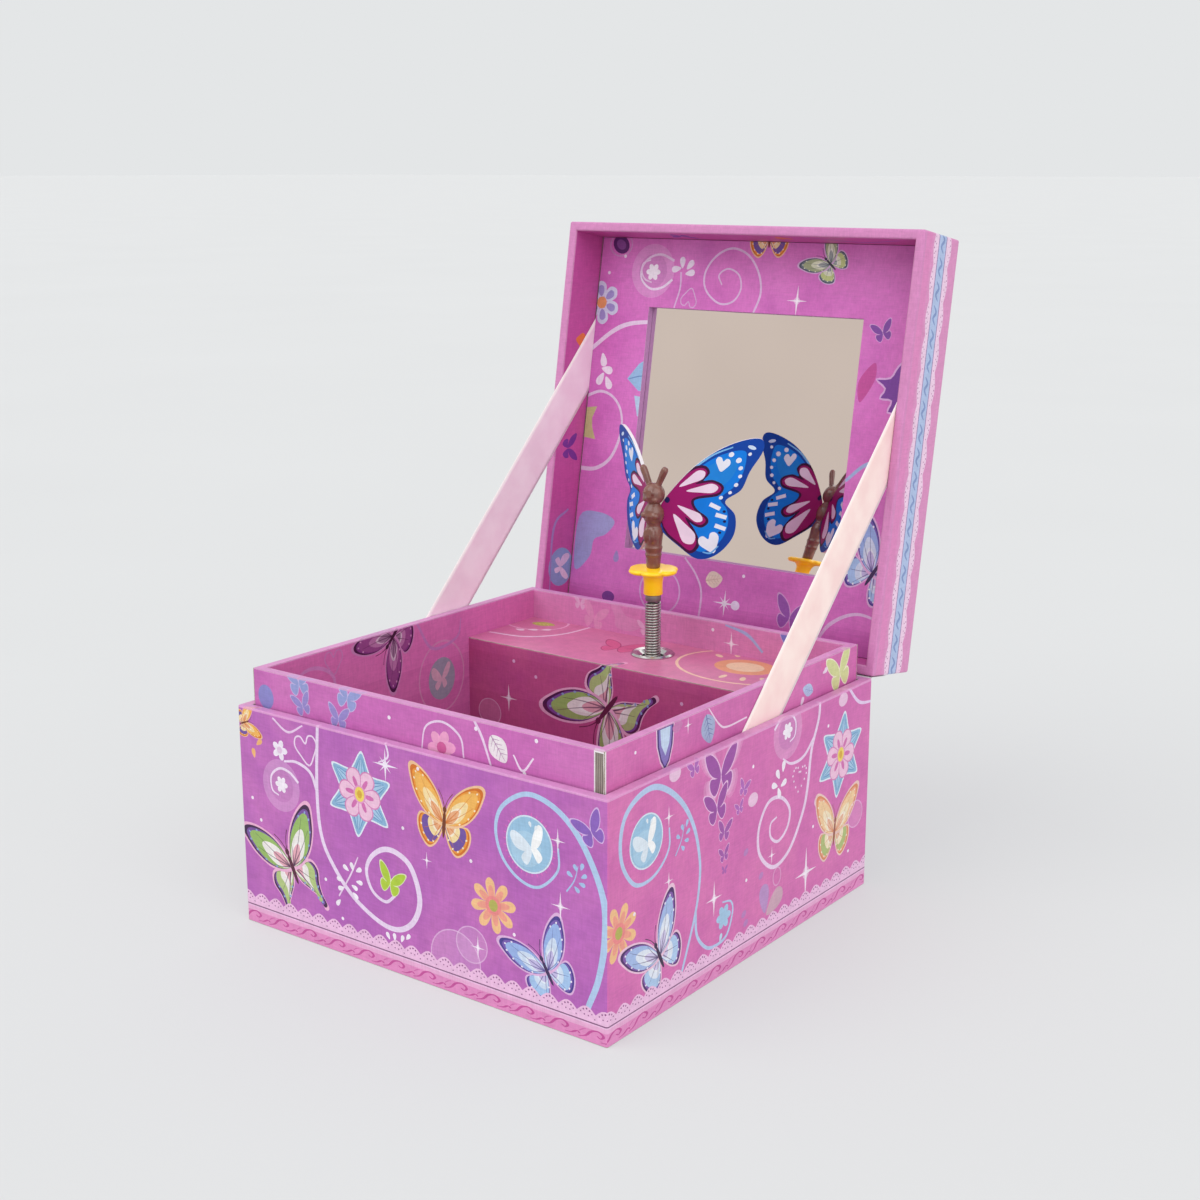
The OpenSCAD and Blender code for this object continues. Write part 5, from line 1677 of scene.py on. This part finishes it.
def wing_art():
    """Blue wing print: x runs out from the stem and y up from the compartment's top."""
    art = Art()
    outline = smooth(WING_CORNERS, 6, True)
    art.fill(outline, "0C44A4")
    art.blob([(5, 42.4), (9.6, 47.6), (14.6, 51.4), (19.6, 53.4), (23, 53.6), (23.4, 51.6), (22.6, 48),
              (20.6, 44.6), (17, 41.4), (18.6, 38.6), (19, 35), (17.6, 31), (14.6, 28.2), (11.4, 27.6),
              (8, 30.4), (4, 36)], "0A80E6", 5)
    art.blob([(9, 45), (13, 49), (17.6, 51.6), (21, 51.4), (20.8, 48.6), (18.4, 45.4), (14, 43)], "1E88E0", 4)
    art.stroke([(6, 45), (10, 49), (15, 52.6), (20, 54.6)], [0.2, 0.5, 0.3], "7FC0F0")
    art.blob([(1, 43.4), (5, 45.6), (8.6, 48.8), (11.4, 49.9), (13.4, 49.6), (14.2, 47.9), (12.6, 46),
              (14.8, 46.2), (17.2, 45.2), (17.8, 43.8), (16.2, 42), (11.4, 41.3), (10.2, 40.4),
              (11.2, 38.4), (13.6, 36.6), (13.9, 35), (12.2, 33.8), (10.2, 34.4), (9.2, 35.2),
              (10.4, 33.4), (11.6, 30.6), (11.4, 28.4), (9.2, 27), (6.4, 29.2), (2.4, 33.4)], "3F0E3C", 3)
    art.blob([(1.2, 42.8), (5.2, 44.8), (8.8, 48), (11.4, 49.2), (13, 49), (13.5, 47.8), (12.1, 46.2),
              (10.6, 45.1), (14.6, 45.6), (16.8, 44.7), (17.1, 43.6), (15.8, 42.6), (11.2, 41.9), (9.5, 40.7),
              (10.4, 38.4), (12.9, 36.4), (13.2, 35.3), (12, 34.5), (10.4, 35), (8, 36.6), (9.6, 33.4),
              (10.9, 30.7), (10.7, 29), (9.2, 27.8), (6.6, 29.8), (2.6, 34)], "A0126A", 3)
    for ax, ay, bx, by, w in ((6.4, 44.4, 13, 48.2, 0.62), (8.2, 43.3, 16.4, 44.2, 0.55),
                              (6, 39.6, 12.4, 35.6, 0.6), (5, 37.4, 10, 29.6, 0.75)):
        length = math.hypot(bx - ax, by - ay)
        pen = art.at(ax, ay, math.degrees(math.atan2(by - ay, bx - ax)), (length, length * w * 0.5))
        pen.blob([(0, 0), (0.45, 0.36), (0.82, 0.52), (1.0, 0.0), (0.82, -0.52), (0.45, -0.36)], "F4DDF0", 4)
    heart(art, 17.4, 50.2, -14, 3.6, "EDF1FB")
    for x, y, r in ((19.6, 52.7, 0.75), (21.5, 51.2, 0.8), (22, 49.2, 0.62), (21.9, 47.1, 0.55),
                    (20.9, 44.9, 0.6), (19.4, 42.9, 0.5), (17.1, 41.6, 0.55), (24.3, 52.8, 0.5)):
        art.oval(x, y, r, r * 0.8, "EDF1FB", 35, 12)
    art.oval(24.8, 54.5, 1.1, 0.5, "CFE3F8", -18, 14)
    for x, y, angle in ((15.6, 39.3, -24), (17.2, 36.8, -14), (17, 33.9, -18)):
        art.at(x, y, angle).fill([(-1.5, -0.5), (1.4, -0.55), (1.5, 0.5), (-1.4, 0.6)], "EDF1FB")
    for x, y in ((18, 38), (18.1, 35.4), (16.9, 32.5)):
        art.oval(x, y, 0.42, 0.36, "1A1450", 0, 10)
    heart(art, 14.4, 29.8, 22, 5.2, "EDF1FB")
    art.stroke([(12.6, 27.4), (14.6, 27.2), (16.6, 29)], [0.3, 0.5, 0.3], "6FB4EC")
    art.oval(3.4, 41, 0.7, 0.8, "1A1450", 0, 12)
    return art, outline


WING_T = 0.9
WING_CORNERS = [(1.2, 38), (3.6, 42.3), (9.4, 48.8), (16, 53.6), (22.6, 56.3), (27.2, 56.6),
                (27.6, 53.6), (24.4, 48.4), (22.2, 43.6), (18.2, 40.6), (20.8, 37), (20.4, 31.6),
                (16.4, 26.9), (11.4, 25.6), (6.6, 28.8), (1.6, 33.6)]


def wing(side):
    """A flat printed wing swept back from the body."""
    name = "right_wing" if side > 0 else "left_wing"
    points = np.array([v.co for v in NODES[name].data.vertices]) / MM
    far = points[np.argmax(np.abs(points[:, 0]))]
    sweep = math.atan2(far[1] - STEM[1], abs(far[0]))
    c, s = math.cos(sweep), math.sin(sweep)
    origin = np.array([STEM[0], STEM[1], HOUSING_TOP]) + np.array([side * s, -c, 0]) * WING_T / 2
    place = flat_place(origin, (c, side * s, 0), (0, 0, 1))
    art, outline = wing_art()
    if side < 0:
        art.layers = [(edge * (-1, 1), colour) for edge, colour in art.layers]
        outline = outline * (-1, 1)
    low, high = outline.min(0) - 0.5, outline.max(0) + 0.5
    obj = printed(name + "_print", place, tuple(low), tuple(high), art, wing_skin(), shape=outline,
                  thick=WING_T, back=art)
    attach(obj, "figure")
    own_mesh(obj)
    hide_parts(name)


@once
def wing_skin():
    s = Shader("wing_print", Roughness=0.45, Coat_Weight=0.03, Coat_Roughness=0.12, Specular_IOR_Level=0.15)
    ink = s.ink()
    shade = s.ramp(s.noise(0.3, 3.0), (0.3, grey(0.9)), (0.7, grey(1.0)))
    s.colour(s.mix(1.0, ink["Color"], shade, "MULTIPLY"))
    return s.material


# ---------------------------------------------------------------- CAD nodes that show

BOARDS = ["base_board", "front_wall", "back_wall", "left_wall", "right_wall", "collar_front", "collar_back",
          "collar_left", "collar_right", "compartment_floor", "housing_front_panel", "housing_top_panel",
          "lid_front_wall", "lid_back_wall", "lid_left_wall", "lid_right_wall", "lid_top_board",
          "mirror_frame"]
STEEL = ["movement_bedplate", "movement_screws", "winding_arbor", "ratchet_wheel", "click_pawl",
         "output_stem", "stem_bracket", "cylinder_arbor", "music_comb", "second_arbor", "governor_worm",
         "stop_wire"]
BRASS = ["barrel_drum", "pinned_cylinder", "cylinder_bracket", "comb_mount", "air_brake", "governor_frame"]


def cad_looks():
    """Materials of the CAD nodes that show as they are."""
    looks = [
        (BOARDS, "grey_board", board_edge()),
        (["stem_eyelet"], "eyelet_nickel", brushed("eyelet_nickel", "C9C6C4", 0.16)),
        (["lid_lining_panel"], "grey_board", lining_board()),
        (STEEL, "movement_steel", brushed("movement_steel", "A9A7A3", 0.3)),
        (["mainspring", "comb_screws"], "blued_steel", brushed("blued_steel", "4A5470", 0.3)),
        (BRASS, "movement_brass", brushed("movement_brass", "C9A255", 0.3)),
        (["winding_key"], "key_brass", brushed("key_brass", "CDA85C", 0.26)),
    ]
    for names, slot, material in looks:
        for name in names:
            dress(NODES[name], material)


# ---------------------------------------------------------------- stage, lights, camera

def stage():
    far = 40000
    floor = add_mesh("floor", [(-far, -far, 0), (far, -far, 0), (far, far, 0), (-far, far, 0)],
                     [(0, 1, 2, 3)], floor_skin(), False)
    card_at = np.array([-420.0, -560.0, 120.0])
    right = np.array([0.8, -0.6, 0.0]) * 560
    up = np.array([0, 0, 1.0]) * 420
    corners = [card_at - right - up, card_at + right - up, card_at + right + up, card_at - right + up]
    card = add_mesh("mirror_card", corners, [(0, 1, 2, 3)], card_skin(), False)
    card.visible_camera = False
    card.visible_diffuse = False
    card.visible_shadow = False
    world = bpy.data.worlds.new("studio")
    bpy.context.scene.world = world
    world.use_nodes = True
    world.node_tree.nodes["Background"].inputs["Color"].default_value = (*tone("E4E6E7")[:3], 1)
    world.node_tree.nodes["Background"].inputs["Strength"].default_value = 1.0


def floor_skin():
    s = Shader("pale_floor", Roughness=0.9, Specular_IOR_Level=0.1)
    s.colour(s.ramp(s.noise(0.004, 2.0), (0.3, grey(0.345)), (0.7, grey(0.355))))
    s.glow("E4E6E7", 0.497)
    return s.material


def card_skin():
    s = Shader("beige_card", Roughness=1.0, Specular_IOR_Level=0.0)
    s.colour(s.ramp(s.noise(0.004, 2.0), (0.3, grey(0.01)), (0.7, grey(0.012))))
    s.glow("D2C2B7", 1.0)
    return s.material


def soft_sun(name, source, strength, spread):
    """Wide, even light from one side, the same over the whole floor."""
    data = bpy.data.lights.new(name, "SUN")
    data.energy = strength
    data.angle = math.radians(spread)
    obj = bpy.data.objects.new(name, data)
    bpy.context.scene.collection.objects.link(obj)
    obj.rotation_euler = Vector(source).to_track_quat("Z", "Y").to_euler()


def lights():
    soft_sun("key_light", (-0.35, -0.55, 0.76), 0.8, 50)
    soft_sun("fill_light", (0.75, -0.4, 0.53), 0.9, 60)


CAMERA_AT = Vector((258.1, -328.2, 179.2))
CAMERA_TARGET = Vector((3.4, 10.6, 76.4))
CAMERA_LENS = 53.39


def camera():
    """The camera stands where the photo was taken from."""
    data = bpy.data.cameras.new("photo_camera")
    data.lens = CAMERA_LENS
    data.sensor_width = 36.0
    obj = bpy.data.objects.new("photo_camera", data)
    bpy.context.scene.collection.objects.link(obj)
    obj.location = CAMERA_AT * MM
    obj.rotation_euler = (CAMERA_TARGET - CAMERA_AT).to_track_quat("-Z", "Y").to_euler()
    bpy.context.scene.camera = obj


bpy.context.scene.view_settings.view_transform = "Standard"
cad_looks()
outer_wrap()
collar_paper()
housing_paper()
floor_paper()
lid_paper()
lining_paper()
mirror_sheet()
hinge_paper()
ribbon(1)
ribbon(-1)
spring()
ferrule()
flower()
figure_body()
wing(1)
wing(-1)
stage()
lights()
camera()
